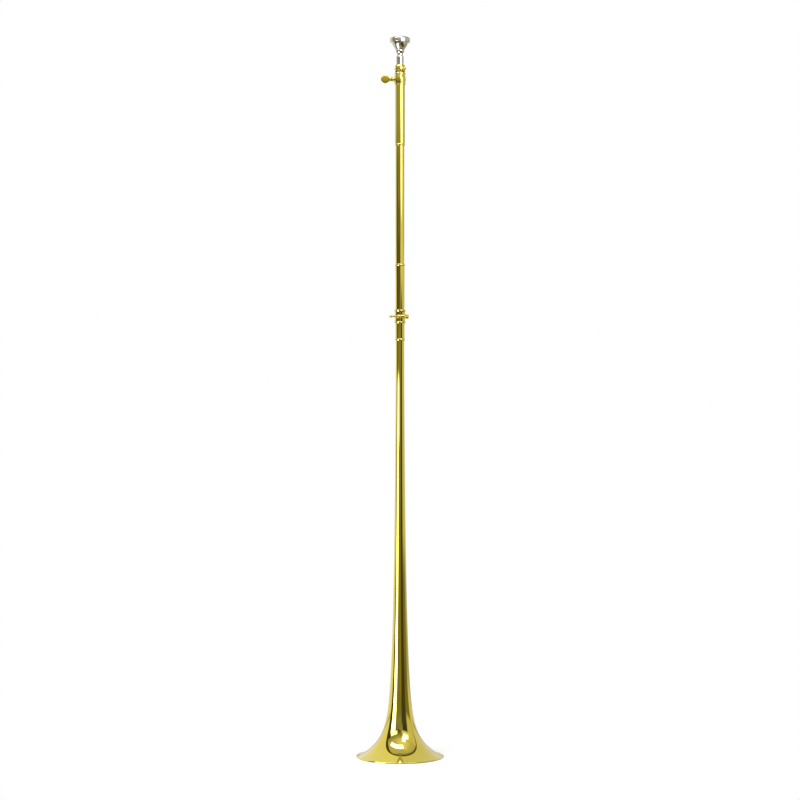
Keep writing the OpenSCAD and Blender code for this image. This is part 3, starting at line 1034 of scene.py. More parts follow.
    def tail_socket(self) -> bpy.types.Object:
        """Makes the socket, slit where the clamp goes round it.

        Returns:
            The socket.
        """
        outline = tube_outline("tail_socket", self.sleeve_wall, self.edge)
        piece = self.shop.turned("socket_sleeve", outline)
        piece = self.shop.combine(piece, self._slit_cutter(), Joining.CUT)
        return self.shop.finish(piece, self.body, ["tail_socket"], "drawn", "lacquered_brass")

    def _slit_cutter(self) -> bpy.types.Object:
        """Makes the block that opens the slit at the front of the clamp and the socket."""
        clamp = Extent.of("joint_clamp")
        return self.shop.block("slit_cutter", (-self.slit / 2, -3 * clamp.radius, clamp.bottom),
                               (self.slit / 2, 0.0, clamp.top + 1))

    def tail_ring(self) -> bpy.types.Object:
        """Makes the ring that ends the socket on the tail."""
        return make_ring(self.shop, "tail_ring_bead", "tail_ring", "tail_socket", self.body)

    def joint_clamp(self) -> bpy.types.Object:
        """Makes the split clamp with its two beads and two lugs.

        Returns:
            The clamp.
        """
        low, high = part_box("joint_clamp")
        bottom, top = low.z / MM, high.z / MM
        bore = Extent.of("tail_socket").radius + SOLDER
        wall = bore + self.clamp_wall
        piece = self.shop.turned("clamp_ferrule", self._clamp_outline(bore, wall, bottom, top))
        middle = (bottom + top) / 2
        across = lying(-(wall + self.lug_ahead), middle)
        lug = self.shop.place(self._lug(), across)
        web = self.shop.place(self._web(), lying(-wall + 0.4, middle))
        piece = self.shop.combine(piece, lug, Joining.ADD)
        piece = self.shop.combine(piece, web, Joining.ADD)
        bore_tool = self.shop.plug("bore_tool", bore, bottom - 1, top + 1)
        piece = self.shop.combine(piece, bore_tool, Joining.CUT)
        hole_tool = self.shop.plug("hole_tool", self.screw_hole, self.lug_left - 1, self.lug_right + 1, 48)
        piece = self.shop.combine(piece, self.shop.place(hole_tool, across), Joining.CUT)
        piece = self.shop.combine(piece, self._slit_cutter(), Joining.CUT)
        return self.shop.finish(piece, self.body, ["joint_clamp"], "fitting", "brass_fittings")

    def _clamp_outline(self, bore: float, wall: float, bottom: float, top: float) -> Outline:
        """Gives the outline of the clamp's ring, with a bead at each end.

        Args:
            bore: Its inside radius.
            wall: The radius between the beads.
            bottom: Where it starts.
            top: Where it ends.

        Returns:
            The eased outline.
        """
        height, lip = self.clamp_bead_height, self.clamp_lip
        foot, swell = wall + self.clamp_bead_foot, self.clamp_bead - self.clamp_bead_foot
        return eased([
            (bore, bottom, 0.08), (wall + lip, bottom, 0.12), *bead_corners(foot, swell, bottom, height, 8),
            (wall, bottom + height + lip, 0.18), (wall, top - height - lip, 0.18),
            *bead_corners(foot, swell, top - height, height, 8), (wall + lip, top, 0.12),
            (bore, top, 0.08)])

    def _lug(self) -> bpy.types.Object:
        """Turns the two lugs in one, with a waist where the slit parts them.

        Returns:
            The lugs along +Z.
        """
        waist = self.lug * self.lug_waist
        outline = eased([
            (0.0, self.lug_left), (self.lug, self.lug_left, 0.35), (self.lug, -0.9, 0.3),
            (waist, -0.55, 0.3), (waist, 0.55, 0.3), (self.lug, 0.9, 0.3),
            (self.lug, self.lug_right, 0.35), (0.0, self.lug_right)], closed=False)
        return self.shop.turned("lug", outline, closed=False, around=64)

    def _web(self) -> bpy.types.Object:
        """Lofts the web that carries the lugs."""
        return self.shop.lofted("web", [
            (self.lug_left + 0.25, 1.7, 2.6, 3.0), (self.lug_left + 0.9, 1.85, 3.2, 3.0),
            (self.lug_right * 0.5, 1.85, 3.2, 3.0), (self.lug_right * 0.74, 1.4, 2.2, 3.0)])


def bead_corners(radius: float, swell: float, bottom: float, height: float,
                 steps: int) -> list[tuple[float, float]]:
    """Gives the points of a bead that stands out of a wall.

    Args:
        radius: The radius at the bead's two feet.
        swell: How far it stands out.
        bottom: The height of its lower foot.
        height: Its height.
        steps: Steps over it.

    Returns:
        Radius and height of each point, feet left out.
    """
    return [(radius + swell * math.sin(math.pi * i / steps), bottom + height * i / steps)
            for i in range(1, steps)]


def tube_outline(node: str, wall: float, edge: float) -> Outline:
    """Gives the outline of a plain tube with eased ends over a CAD node.

    Args:
        node: The CAD node.
        wall: The tube's wall.
        edge: The rounding of its outer edges; the inner ones have half of it.

    Returns:
        The eased outline.
    """
    place = Extent.of(node)
    bore = place.radius - wall
    return eased([(bore, place.bottom, edge / 2), (place.radius, place.bottom, edge),
                  (place.radius, place.top, edge), (bore, place.top, edge / 2)])


def ring_corners(foot: float, bottom: float, top: float) -> list[tuple[float, ...]]:
    """Gives the corners of a small ring's outside, from its lower foot to its upper one."""
    return [(foot - RING_FOOT, bottom, RING_FOOT),
            *bead_corners(foot, RING_SWELL, bottom, top - bottom, RING_STEPS),
            (foot - RING_FOOT, top, RING_FOOT)]


def ring_wear(outline: Outline, foot: float) -> Outline:
    """Marks an outline with a small ring as tarnished up to the ring's foot and bright at its crest.

    Args:
        outline: The eased outline.
        foot: The radius at the ring's feet.

    Returns:
        The outline with its new wear.
    """
    return [(r, z, RING_TARNISH if r < foot - 0.02 else RING_SHINE * (r - foot) / RING_SWELL)
            for r, z, _ in outline]


def make_ring(shop: Workshop, name: str, node: str, sleeve: str, body: str) -> bpy.types.Object:
    """Turns the small ring that ends a sleeve.

    Args:
        shop: The workshop.
        name: The piece's name.
        node: The CAD node that it replaces.
        sleeve: The CAD node that it goes round.
        body: The body that it rides on.

    Returns:
        The ring.
    """
    place, bore = Extent.of(node), Extent.of(sleeve).radius + SOLDER
    foot = place.radius - RING_SWELL
    outline = eased([
        (bore, place.bottom), *ring_corners(foot, place.bottom, place.top), (bore, place.top)])
    return shop.finish(shop.turned(name, ring_wear(outline, foot)), body, [node], "fitting",
                       "lacquered_brass")


@dataclass
class Screw:
    """One screw: a threaded stem that travels, and a head that travels and turns."""

    shop: Workshop
    stem_body: str
    head_body: str
    stem_node: str
    head_node: str
    place: Matrix
    pitch: float = 0.7
    depth_share: float = 0.34
    around: int = 40
    rows_a_turn: int = 10
    fewest_rows: int = 24

    def thread(self, name: str, radius: float, bottom: float, top: float) -> bpy.types.Object:
        """Cuts a thread on a stem.

        Args:
            name: The piece's name.
            radius: The stem's outside radius.
            bottom: Where the stem starts.
            top: Where it ends.

        Returns:
            The threaded stem along +Z, in millimetres.
        """
        turns = (top - bottom) / self.pitch
        return self.shop.grown_alone(name, self._thread_tree(name), {
            "Radius": radius, "Bottom": bottom, "Height": top - bottom, "Turns": turns,
            "Depth": self.depth_share * self.pitch, "Around": self.around,
            "Rows": max(self.fewest_rows, round(turns * self.rows_a_turn)),
            "Metal": self.shop.materials["screw"]})

    @staticmethod
    def _thread_tree(name: str) -> bpy.types.NodeTree:
        """Builds the tree of a stem whose thread winds up its side and runs out at both ends.

        Args:
            name: The stem's name.

        Returns:
            The finished tree.
        """
        tree = GeometryTree(f"{name}_thread")
        radius, bottom = tree.size("Radius"), tree.size("Bottom")
        height, turns, depth = tree.size("Height"), tree.size("Turns"), tree.size("Depth")
        around, rows = tree.size("Around", "Int"), tree.size("Rows", "Int")
        metal = tree.size("Metal", "Material")
        grid, turn, share = tree.grid(around, rows)
        # Whole turns keep the sum above 0 and leave its fraction alone
        phase = tree.math("FRACT", share * turns - turn + 8)
        groove = tree.smooth(tree.math("ABSOLUTE", phase - 0.5), 0.12, 0.44)
        run_out = tree.smooth(tree.math("MINIMUM", share, 1 - share) * turns, 0.15, 1.1)
        solid = tree.math("GREATER_THAN", tree.math("MINIMUM", share, 1 - share), 0.0001)
        side = radius - depth * groove * run_out
        wrapped = tree.wrapped(grid, turn, side * solid, bottom + height * share,
                               {"along": share * height * MM, "wear": 0.6 - groove * run_out * 1.5})
        return tree.deliver([wrapped], 0.002, metal)

    def knurled(self, name: str, outline: Outline, ridges: int, depth: float, low: float,
                high: float) -> bpy.types.Object:
        """Turns a head and mills ridges round its side.

        Args:
            name: The piece's name.
            outline: The head's outline, open, from the axis round to the axis.
            ridges: How many ridges there are.
            depth: How deep the grooves between them are.
            low: Where the ridges start.
            high: Where they end.

        Returns:
            The head along +Z, in millimetres.
        """
        piece = self.shop.turned(name, outline, closed=False, around=ridges * 6)
        return self.shop.grown(piece, self._knurl_tree(name), {
            "Ridges": float(ridges), "Depth": depth, "Low": low, "High": high,
            "Metal": self.shop.materials["screw"]})

    @staticmethod
    def _knurl_tree(name: str) -> bpy.types.NodeTree:
        """Builds the tree that presses straight grooves into a turned side.

        Args:
            name: The head's name.

        Returns:
            The finished tree.
        """
        tree = GeometryTree(f"{name}_knurl")
        ease, core = 0.45, 1.2
        blank = tree.size("Blank", "Geometry")
        ridges, depth = tree.size("Ridges"), tree.size("Depth")
        low, high = tree.size("Low"), tree.size("High")
        metal = tree.size("Metal", "Material")
        x, y, z = tree.split(tree.out("GeometryNodeInputPosition"))
        radius = tree.reach(x, y)
        angle = tree.math("ARCTAN2", y, x)
        wave = tree.math("COSINE", angle * ridges) * 0.5 + 0.5
        rise = tree.smooth(z, low, low + ease)
        fall = tree.smooth(z, high - ease, high)
        outer = tree.math("GREATER_THAN", radius, core)
        cut = depth * (wave ** 0.7) * rise * (1 - fall) * outer
        scale = 1 - cut / tree.math("MAXIMUM", radius, 0.01)
        marked = tree.marked(blank, "wear", 0.5 - cut / depth * 1.3)
        moved = tree.out("GeometryNodeSetPosition", 0, None, {
            "Geometry": marked, "Position": tree.vector(x * scale, y * scale, z)})
        return tree.deliver([moved], 0.0005, metal)

    def hand_over_stem(self, piece: bpy.types.Object) -> bpy.types.Object:
        """Puts a stem in its place and finishes it."""
        self.shop.place(piece, self.place)
        return self.shop.finish(piece, self.stem_body, [self.stem_node], "screw", "brass_screws")

    def hand_over_head(self, piece: bpy.types.Object) -> bpy.types.Object:
        """Puts a head in its place and finishes it."""
        self.shop.place(piece, self.place)
        return self.shop.finish(piece, self.head_body, [self.head_node], "screw", "brass_screws")


@dataclass
class ClampScrew(Screw):
    """The screw across the front of the joint clamp, along +X."""

    radius: float = 1.2
    ball: float = 1.85
    knob: float = 3.15
    neck: float = 0.8
    knob_length: float = 4.6
    plain: float = -3.0
    ridges: int = 32
    ridge_depth: float = 0.16

    def build(self) -> None:
        """Builds the stem with its closing ball, and the knob."""
        self.hand_over_stem(self._stem())
        self.hand_over_head(self._knob())

    def _stem(self) -> bpy.types.Object:
        """Joins the thread, the plain shank and the ball.

        Returns:
            The stem along +Z.
        """
        low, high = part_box(self.stem_node)
        tip, root = low.x / MM, high.x / MM
        stem = self.thread("clamp_screw_rod", self.radius, tip + 2 * self.ball - 0.5, self.plain)
        shank = self.shop.turned("shank", eased([
            (0.0, self.plain - 0.6), (self.radius - 0.12, self.plain - 0.6),
            (self.radius, self.plain - 0.3, 0.1), (self.radius, root, 0.15), (0.0, root)],
            closed=False), closed=False, around=self.around)
        steps = 20
        ball = self.shop.turned("ball", [
            (self.ball * math.sin(math.pi * i / steps),
             tip + self.ball - self.ball * math.cos(math.pi * i / steps), 0.3)
            for i in range(steps + 1)], closed=False, around=self.around)
        stem = self.shop.combine(stem, shank, Joining.ADD)
        return self.shop.combine(stem, ball, Joining.ADD)

    def _knob(self) -> bpy.types.Object:
        """Turns the knob and mills its ridges.

        Returns:
            The knob along +Z.
        """
        low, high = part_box(self.head_node)
        start, end = low.x / MM, high.x / MM
        side = start + self.neck
        outline = eased([
            (0.0, start), (self.knob * 0.6, start, 0.15), (self.knob * 0.6, side - 0.1, 0.15),
            (self.knob - 0.55, side, 0.2), (self.knob - 0.06, side + 0.75, 0.3),
            *[(self.knob, side + self.knob_length * share) for share in (0.3, 0.4, 0.5, 0.6, 0.7)],
            (self.knob - 0.06, end - 0.75, 0.3), (self.knob - 0.7, end - 0.1, 0.25),
            (self.knob * 0.45, end, 0.2), (0.0, end - 0.15)], closed=False)
        return self.knurled("clamp_knob_head", outline, self.ridges, self.ridge_depth,
                            side + 0.5, end - 0.5)


@dataclass
class ThumbScrew(Screw):
    """The screw with the round flat thumb piece that holds the tuning slide, along -X."""

    radius: float = 1.75
    shoulder: float = 3.13
    waist: float = 2.7
    disc: float = 5.6
    half_thickness: float = 1.2
    neck: float = 5.7
    shoulder_length: float = 3.6
    melt_below: float = 2.2
    melt_above: float = 2.0
    round_off: float = 1.0

    def __post_init__(self) -> None:
        """Works out where the neck melts into the disc, and the disc's middle and tip."""
        self.middle = self.neck + self.disc
        self.tip = self.neck + 2 * self.disc
        self.melt_start = self.neck - self.melt_below
        self.melt_end = self.neck + self.melt_above
        self.melt = self.melt_end - self.melt_start

    def build(self) -> None:
        """Builds the stem and the head."""
        low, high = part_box(self.stem_node)
        self.hand_over_stem(self.thread("thumb_screw_rod", self.radius, -high.x / MM, -low.x / MM))
        low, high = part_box(self.head_node)
        self.hand_over_head(self._head(-high.x / MM))

    def _half_width(self, t: float) -> float:
        """Gives half the width in the disc's plane.

        Args:
            t: The distance from the head's foot.

        Returns:
            Half the width.
        """
        if t <= self.melt_start:
            return (self.waist + (self.shoulder - self.waist)
                    * max(0.0, 1 - t / self.shoulder_length) ** 2)
        if t >= self.melt_end:
            return math.sqrt(max(0.0, self.disc ** 2 - (t - self.middle) ** 2))
        share = (t - self.melt_start) / self.melt
        goal = math.sqrt(self.disc ** 2 - (self.melt_end - self.middle) ** 2)
        slope = (self.middle - self.melt_end) / goal * self.melt
        return (self.waist * (2 * share ** 3 - 3 * share ** 2 + 1)
                + goal * (3 * share ** 2 - 2 * share ** 3) + slope * (share ** 3 - share ** 2))

    def _half_depth(self, t: float) -> float:
        """Gives half the thickness across the disc.

        Args:
            t: The distance from the head's foot.

        Returns:
            Half the thickness.
        """
        share = clamped((t - self.melt_start + 0.8) / self.melt)
        flat = share * share * (3 - 2 * share)
        depth = min(self._half_width(t), self.waist) * (1 - flat) + self.half_thickness * flat
        if t > self.tip - self.round_off:
            depth *= math.sqrt(max(0.0, 1 - ((t - self.tip + self.round_off) / self.round_off) ** 2))
        return depth

    def _heights(self) -> list[float]:
        """Lists the sections' distances from the foot, close together where the form changes fast.

        Returns:
            The distances, the last one just before the tip.
        """
        heights = [0.0, 0.02, 0.1, 0.25, 0.5, 0.8, 0.9, 1.1]
        foot = heights[-1]
        heights += [foot + (self.melt_start - foot) * i / 8 for i in range(1, 9)]
        heights += [self.melt_start + self.melt * i / 16 for i in range(1, 17)]
        first = math.acos((self.middle - self.melt_end) / self.disc)
        heights += [self.middle - self.disc * math.cos(first + i / 30 * (math.pi - first))
                    for i in range(1, 30)]
        return heights

    def _head(self, start: float) -> bpy.types.Object:
        """Lofts the turned neck into the round flat thumb piece.

        Args:
            start: How far from the axis of the horn the head starts.

        Returns:
            The head along +Z.
        """
        stations = []
        for t in self._heights():
            edge = min(1.0, t / 0.25)
            bevel = 1.0 - 0.07 * (1 - math.sqrt(max(0.0, 1 - (1 - edge) ** 2)))
            notch = 1.0 - 0.06 * math.exp(-((t - 0.95) / 0.16) ** 2)
            squareness = 2.0 + 1.6 * clamped((t - self.melt_start) / self.melt)
            stations.append((start + t, self._half_width(t) * bevel * notch,
                             self._half_depth(t) * bevel * notch, squareness))
        piece = self.shop.lofted("thumb_piece", stations)
        self.shop.attribute(piece.data, "wear", [
            self._waist_darkening(vertex.co.z - start) for vertex in piece.data.vertices])
        return piece

    def _waist_darkening(self, distance: float) -> float:
        """Gives the wear: the waist is darker.

        Args:
            distance: How far the place is from the head's foot.

        Returns:
            The wear, below 0 where the metal is darker.
        """
        entry = clamped((distance - 0.6) / 1.0)
        leave = clamped((self.neck - 0.2 - distance) / 1.8)
        return -0.8 * entry * leave


@dataclass
class LockScrew(Screw):
    """The small ball-headed screw that locks the mouthpiece."""

    radius: float = 1.0
    ball: float = 2.3
    outlet: float = 9.65
    tip: float = 4.58
    steps: int = 30
    seam: float = 0.14
    seam_lip: float = 0.02

    def build(self) -> None:
        """Builds the stem and the ball."""
        self.hand_over_stem(self.thread("lock_screw_rod", self.radius, self.tip, self.outlet))
        self.hand_over_head(self.shop.turned("lock_ball_head", self._ball_outline(), closed=False,
                                             around=64))

    def _ball_outline(self) -> Outline:
        """Gives the ball's outline, with a tarnished seam round its middle.

        Returns:
            The outline from the foot to the tip.
        """
        outline = [(0.0, self.outlet - self.ball + 0.04, 0.0)]
        belt = self.steps // 2
        for i in range(2, self.steps):
            angle = math.pi * i / self.steps
            worn = 0.5
            radius = self.ball * math.sin(angle)
            if abs(i - belt) == 1:
                radius -= self.seam_lip
            if i == belt:
                radius, worn = radius - self.seam, -0.9
            outline.append((radius, self.outlet - self.ball * math.cos(angle), worn))
        outline.append((0.0, self.outlet + self.ball, 0.3))
        return outline


@dataclass
class UpperSection:
    """The main tube with its sleeves, the outer slide, its barrel and its boss."""

    shop: Workshop
    body: str = "upper_section"
    tube_wall: float = 0.4
    sleeve_wall: float = 0.38
    slide_wall: float = 0.45
    bush_wall: float = 0.24
    barrel_wall: float = 0.6
    barrel_bead: float = 0.35
    barrel_bead_height: float = 1.8
    boss: float = 3.3
    stem_hole: float = 1.78
    edge: float = 0.12

    def build(self) -> None:
        """Builds every piece of the section."""
        self._tube("main_tube_drawn", "main_tube", self.tube_wall)
        self._tube("joint_sleeve_drawn", "joint_sleeve", self.sleeve_wall)
        make_ring(self.shop, "joint_sleeve_bead", "joint_sleeve_ring", "joint_sleeve", self.body)
        self.slide_bush()
        self.outer_slide()
        self.barrel()
        self.screw_boss()

    def _tube(self, name: str, node: str, wall: float) -> bpy.types.Object:
        """Makes a drawn tube."""
        piece = self.shop.turned(name, tube_outline(node, wall, self.edge))
        return self.shop.finish(piece, self.body, [node], "drawn", "lacquered_brass")

    def slide_bush(self) -> bpy.types.Object:
        """Makes the bush inside the outer slide, with its ring outside.

        Returns:
            The bush.
        """
        place = Extent.of("slide_bush")
        bore = Extent.of("main_tube").radius + SOLDER
        bush = bore + self.bush_wall
        ring_top = Extent.of("outer_slide").bottom
        foot = place.radius - RING_SWELL
        outline = eased([
            (bore, place.bottom), *ring_corners(foot, place.bottom, ring_top), (bush, ring_top, 0.05),
            (bush, place.top, 0.08), (bore, place.top)])
        piece = self.shop.turned("slide_bush_ring", ring_wear(outline, foot))
        return self.shop.finish(piece, self.body, ["slide_bush"], "fitting", "lacquered_brass")

    def _stem_tool(self) -> bpy.types.Object:
        """Makes the tool that drills the thumb screw's hole."""
        tool = self.shop.plug("stem_tool", self.stem_hole, 1.0, 14.0, 48)
        return self.shop.place(tool, lying(0, middle_of("thumb_screw_boss"), -1))

    def outer_slide(self) -> bpy.types.Object:
        """Makes the outer slide tube with the thumb screw's hole.

        Returns:
            The tube.
        """
        outline = tube_outline("outer_slide", self.slide_wall, self.edge)
        piece = self.shop.turned("outer_slide_drawn", outline)
        piece = self.shop.combine(piece, self._stem_tool(), Joining.CUT)
        return self.shop.finish(piece, self.body, ["outer_slide"], "drawn", "lacquered_brass")

    def barrel(self) -> bpy.types.Object:
        """Makes the turned barrel at the top of the outer slide.

        Returns:
            The barrel.
        """
        place = Extent.of("slide_barrel")
        bore = Extent.of("outer_slide").radius + SOLDER
        wall = bore + self.barrel_wall
        belly = place.radius - wall
        bead, high = self.barrel_bead, self.barrel_bead_height
        low_end, high_end = place.bottom + high, place.top - high
        swell = bead_corners(wall, belly, low_end, high_end - low_end, 24)
        outline = eased([
            (bore, place.bottom, 0.08), (wall + bead * 0.6, place.bottom, 0.25),
            (wall + bead, place.bottom + 0.5, 0.3), (wall + bead, low_end - 0.45, 0.25),
            (wall + 0.02, low_end - 0.1, 0.12), *swell, (wall + 0.02, high_end + 0.1, 0.12),
            (wall + bead, high_end + 0.45, 0.25), (wall + bead, place.top - 0.5, 0.3),
            (wall + bead * 0.6, place.top, 0.25), (bore, place.top, 0.08)])
        piece = self.shop.turned("barrel_turned", outline)
        piece = self.shop.combine(piece, self._stem_tool(), Joining.CUT)
        return self.shop.finish(piece, self.body, ["slide_barrel"], "fitting", "brass_fittings")

    def screw_boss(self) -> bpy.types.Object:
        """Makes the boss on the barrel that carries the thumb screw.

        Returns:
            The boss.
        """
        low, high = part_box("thumb_screw_boss")
        inner, outer = -high.x / MM, -low.x / MM
        boss = self.shop.turned("screw_boss", eased([
            (self.stem_hole, inner - 0.3), (self.boss, inner - 0.3), (self.boss, outer - 0.55, 0.12),
            (self.boss - 0.12, outer - 0.4, 0.05), (self.boss, outer - 0.25, 0.08),
            (self.boss, outer, 0.18), (self.stem_hole, outer, 0.06)]), around=72)
        self.shop.place(boss, lying(0, middle_of("thumb_screw_boss"), -1))
        return self.shop.finish(boss, self.body, ["thumb_screw_boss"], "fitting", "brass_fittings")


@dataclass
class TuningSlide:
    """The inner slide with the receiver and its collar."""

    shop: Workshop
    body: str = "tuning_slide"
    wall: float = 0.45
    flange: float = 2.9
    cove: float = 0.35
    receiver: float = 6.0
    fit: float = 0.03
    edge: float = 0.12
    lock_hole: float = 1.03
    lock_turn: float = math.radians(38)

    def build(self) -> None:
        """Builds every piece of the slide."""
        self.inner_slide()
        self.receiver_socket()
        self.collar()

    def inner_slide(self) -> bpy.types.Object:
        """Makes the inner slide tube.

        Returns:
            The tube.
        """
        place = Extent.of("inner_slide")
        bore = place.radius - self.wall
        piece = self.shop.turned("inner_slide_lapped", eased([
            (bore, place.bottom, 0.08), (place.radius, place.bottom, 0.18), (place.radius, place.top),
            (bore, place.top)]))
        return self.shop.finish(piece, self.body, ["inner_slide"], "slide", "slide_brass")

    def _lock_tool(self) -> bpy.types.Object:
        """Makes the tool that drills the locking screw's hole."""
        tool = self.shop.plug("lock_tool", self.lock_hole, 1.0, 12.0, 40)
        return self.shop.place(tool, lock_place(middle_of("lock_screw_ball"), self.lock_turn))

    def receiver_socket(self) -> bpy.types.Object:
        """Makes the receiver: spigot, flange and tapered socket.

        Returns:
            The receiver.
        """
        place = Extent.of("mouthpiece_receiver")
        slide = Extent.of("inner_slide")
        spigot = slide.radius - self.wall - SOLDER
        mouth = SHANK + self.fit
        seat_z = place.top - SHANK_INSERT - 0.5
        seat = SHANK - TAPER * (place.top - seat_z) + self.fit
        flange_bottom = slide.top + STOP
        flange_top = flange_bottom + self.flange
        outline = eased([
            (seat, seat_z), (spigot - 0.5, place.bottom, 0.05), (spigot, place.bottom, 0.05),
            (spigot, flange_bottom), (place.radius, flange_bottom, 0.15),
            *bead_corners(place.radius, -self.cove, slide.top + 0.3, self.flange - 0.5, 14),
            (place.radius, flange_top, 0.12), (self.receiver, flange_top),
            (self.receiver, place.top, 0.15), (mouth + 0.25, place.top, 0.12), (mouth, place.top - 0.5)])
        # Painted shade: the groove in the flange gets wear -1, so the fittings' dark tarnish colour stands
        # in for its shadow
        shaded_cove = [r > spigot + 0.4 and 0.45 < z - slide.top < self.flange - 0.3 for r, z, _ in outline]
        outline = [(r, z, -1.0 if deep else worn) for (r, z, worn), deep in zip(outline, shaded_cove)]
        piece = self.shop.turned("receiver_turned", outline)
        piece = self.shop.combine(piece, self._lock_tool(), Joining.CUT)
        return self.shop.finish(piece, self.body, ["mouthpiece_receiver"], "fitting", "brass_fittings")

    def collar(self) -> bpy.types.Object:
        """Makes the rounded collar over the receiver.

        Returns:
            The collar.
        """
        place = Extent.of("receiver_collar")
        bore = self.receiver + SOLDER
        height = place.top - place.bottom
        rings = ((0.0, 0.62), (0.06, 0.25), (0.14, 0.06), (0.24, 0.0), (0.38, 0.0), (0.52, 0.04),
                 (0.64, 0.12), (0.74, 0.24), (0.83, 0.42), (0.90, 0.66), (0.96, 0.98))
        side = [(place.radius - inward, place.bottom + height * share) for share, inward in rings]
        outline = eased([(bore, place.bottom, 0.05), *[(r, z, 0.5) for r, z in side],
                         (side[-1][0] - 0.35, place.top, 0.2), (bore, place.top, 0.06)])
        piece = self.shop.turned("collar_turned", outline)
        piece = self.shop.combine(piece, self._lock_tool(), Joining.CUT)
        return self.shop.finish(piece, self.body, ["receiver_collar"], "fitting", "brass_fittings")


def lock_place(height: float, turn: float) -> Matrix:
    """Gives the place of the locking screw: out of the bore, forward and to the right."""
    return (Matrix.Translation((0, 0, height)) @ Matrix.Rotation(turn, 4, "Z")
            @ Matrix.Rotation(QUARTER, 4, "X"))


@dataclass
class Mouthpiece:
    """The silver-plated mouthpiece, one turned piece."""

    shop: Workshop
    body: str = "mouthpiece"
    rim: float = 13.5
    rim_height: float = 6.7
    cup: float = 8.3
    cup_depth: float = 11.6
    bowl: float = 10.8
    bowl_height: float = 9.9
    foot: float = 5.6
    knop_height: float = 4.6
    knop_swell: float = 0.35
    neck: float = 3.85
    neck_height: float = 5.0
    shank_shown: float = 10.4
    throat: float = 1.95
    throat_length: float = 5.0
    end_wall: float = 0.8
    rim_roll: float = 2.4
    rim_bite: float = 1.6
    bowl_start: float = 0.04

    def build(self) -> None:
        """Turns the mouthpiece, outside from the shank's end up, then inside from the rim down."""
        place = Extent.of("mouthpiece")
        points = self._outside(place.bottom, place.top) + self._inside(place.top)
        piece = self.shop.turned("mouthpiece_turned", eased(points), around=144)
        self.shop.finish(piece, self.body, ["mouthpiece"], "silver", "silver_plate")

    def _outside(self, end: float, top: float) -> list[tuple[float, ...]]:
        """Gives the corners of the shank, the neck, the knop, the bowl and the rim's outer half.

        Args:
            end: The height of the shank's end.
            top: The height of the rim's crest.

        Returns:
            The corners, upwards.
        """
        mouth = end + SHANK_INSERT
        cove = mouth + self.shank_shown
        knop = cove + self.neck_height
        bowl = knop + self.knop_height
        under = bowl + self.bowl_height
        crest = (self.rim + self.cup) / 2
        end_radius = SHANK + TAPER * (end - mouth)
        cove_radius = SHANK + TAPER * (cove - mouth)

        points = [(end_radius - self.end_wall, end, 0.1), (end_radius, end, 0.15), (cove_radius, cove)]
        points += stretch(18, lambda t: (
            self.neck + (cove_radius - self.neck) * (1 + math.cos(math.pi * t)) / 2,
            cove + self.neck_height * 0.4 * t))
        points += [(self.neck, knop - 0.55, 0.3), (self.neck + 0.55, knop - 0.05, 0.2)]
        points += stretch(16, lambda t: (
            self.neck + 0.55 + (self.foot - self.neck - 0.55) * math.sin(QUARTER * t)
            + self.knop_swell * math.sin(math.pi * t) ** 1.2, knop + (self.knop_height - 0.3) * t))
        points += [(self.foot - 0.12, bowl - 0.05, 0.15), (self.foot + 0.35, bowl + 0.25, 0.2)]
        left = 1 - self.bowl_start
        points += stretch(30, lambda t: (
            self.foot + (self.bowl - self.foot) * (1 - (1 - (self.bowl_start + left * t)) ** 1.5),
            bowl + self.bowl_height * (self.bowl_start + left * t)))[:-1]
        points += [(self.bowl, under, 0.2), (self.rim - 0.25, under, 0.12), (self.rim, under + 0.35, 0.3)]
        points += [(self.rim, under + 1.5), (self.rim, top - self.rim_roll - 0.2)]
        points += stretch(18, lambda t: (
            self.rim - (self.rim - crest) * (1 - math.cos(QUARTER * t)),
            top - self.rim_roll * (1 - math.sin(QUARTER * t))))
        return points

    def _inside(self, top: float) -> list[tuple[float, ...]]:
        """Gives the corners of the rim's inner half, the cup and the throat.

        Args:
            top: The height of the rim's crest.

        Returns:
            The corners, downwards.
        """
        crest = (self.rim + self.cup) / 2
        bottom = top - self.cup_depth
        points = stretch(14, lambda t: (
            crest - (crest - self.cup) * math.sin(QUARTER * t),
            top - self.rim_bite * (1 - math.cos(QUARTER * t))))
        points += stretch(30, lambda t: (
            self.throat + (self.cup - self.throat) * math.sqrt(1 - math.sin(QUARTER * t) ** 1.8),
            top - self.rim_bite - (self.cup_depth - self.rim_bite) * math.sin(QUARTER * t)))[:-1]
        points += [(self.throat, bottom, 0.4), (self.throat, bottom - self.throat_length)]
        return points


@dataclass(frozen=True)
class Zone:
    """A patch of light or dark on the room's wall, with azimuths in degrees and heights in metres."""

    left: float
    right: float
    low: float
    high: float
    level: float
    blur: float = 6.0
    fade: float = 0.04

    def cover(self, tree: Tree, azimuth: Socket, height: Socket) -> Socket:
        """Gives 1 inside the patch and 0 outside it, with soft edges."""
        return band(tree, azimuth, self.left, self.right, self.blur) * band(
            tree, height, self.low, self.high, self.fade)


def band(tree: Tree, value: Socket, low: float, high: float, soft: float) -> Socket:
    """Gives 1 between two limits and 0 beyond them, with soft edges."""
    rise = tree.smooth(value, low - soft / 2, low + soft / 2)
    return rise * (1 - tree.smooth(value, high - soft / 2, high + soft / 2))


def direction(tree: Tree, x: Socket, y: Socket, z: Socket) -> tuple[Socket, Socket]:
    """Gives the azimuth, 0 towards the camera and positive to the right, and the elevation.

    Args:
        tree: The tree that the expression goes into.
        x: The way to the right.
        y: The way back.
        z: The way up.

    Returns:
        Both angles in degrees.
    """
    turn = tree.math("ARCTAN2", x, -y) * DEGREES
    return turn, tree.math("ARCTAN2", z, tree.reach(x, y)) * DEGREES


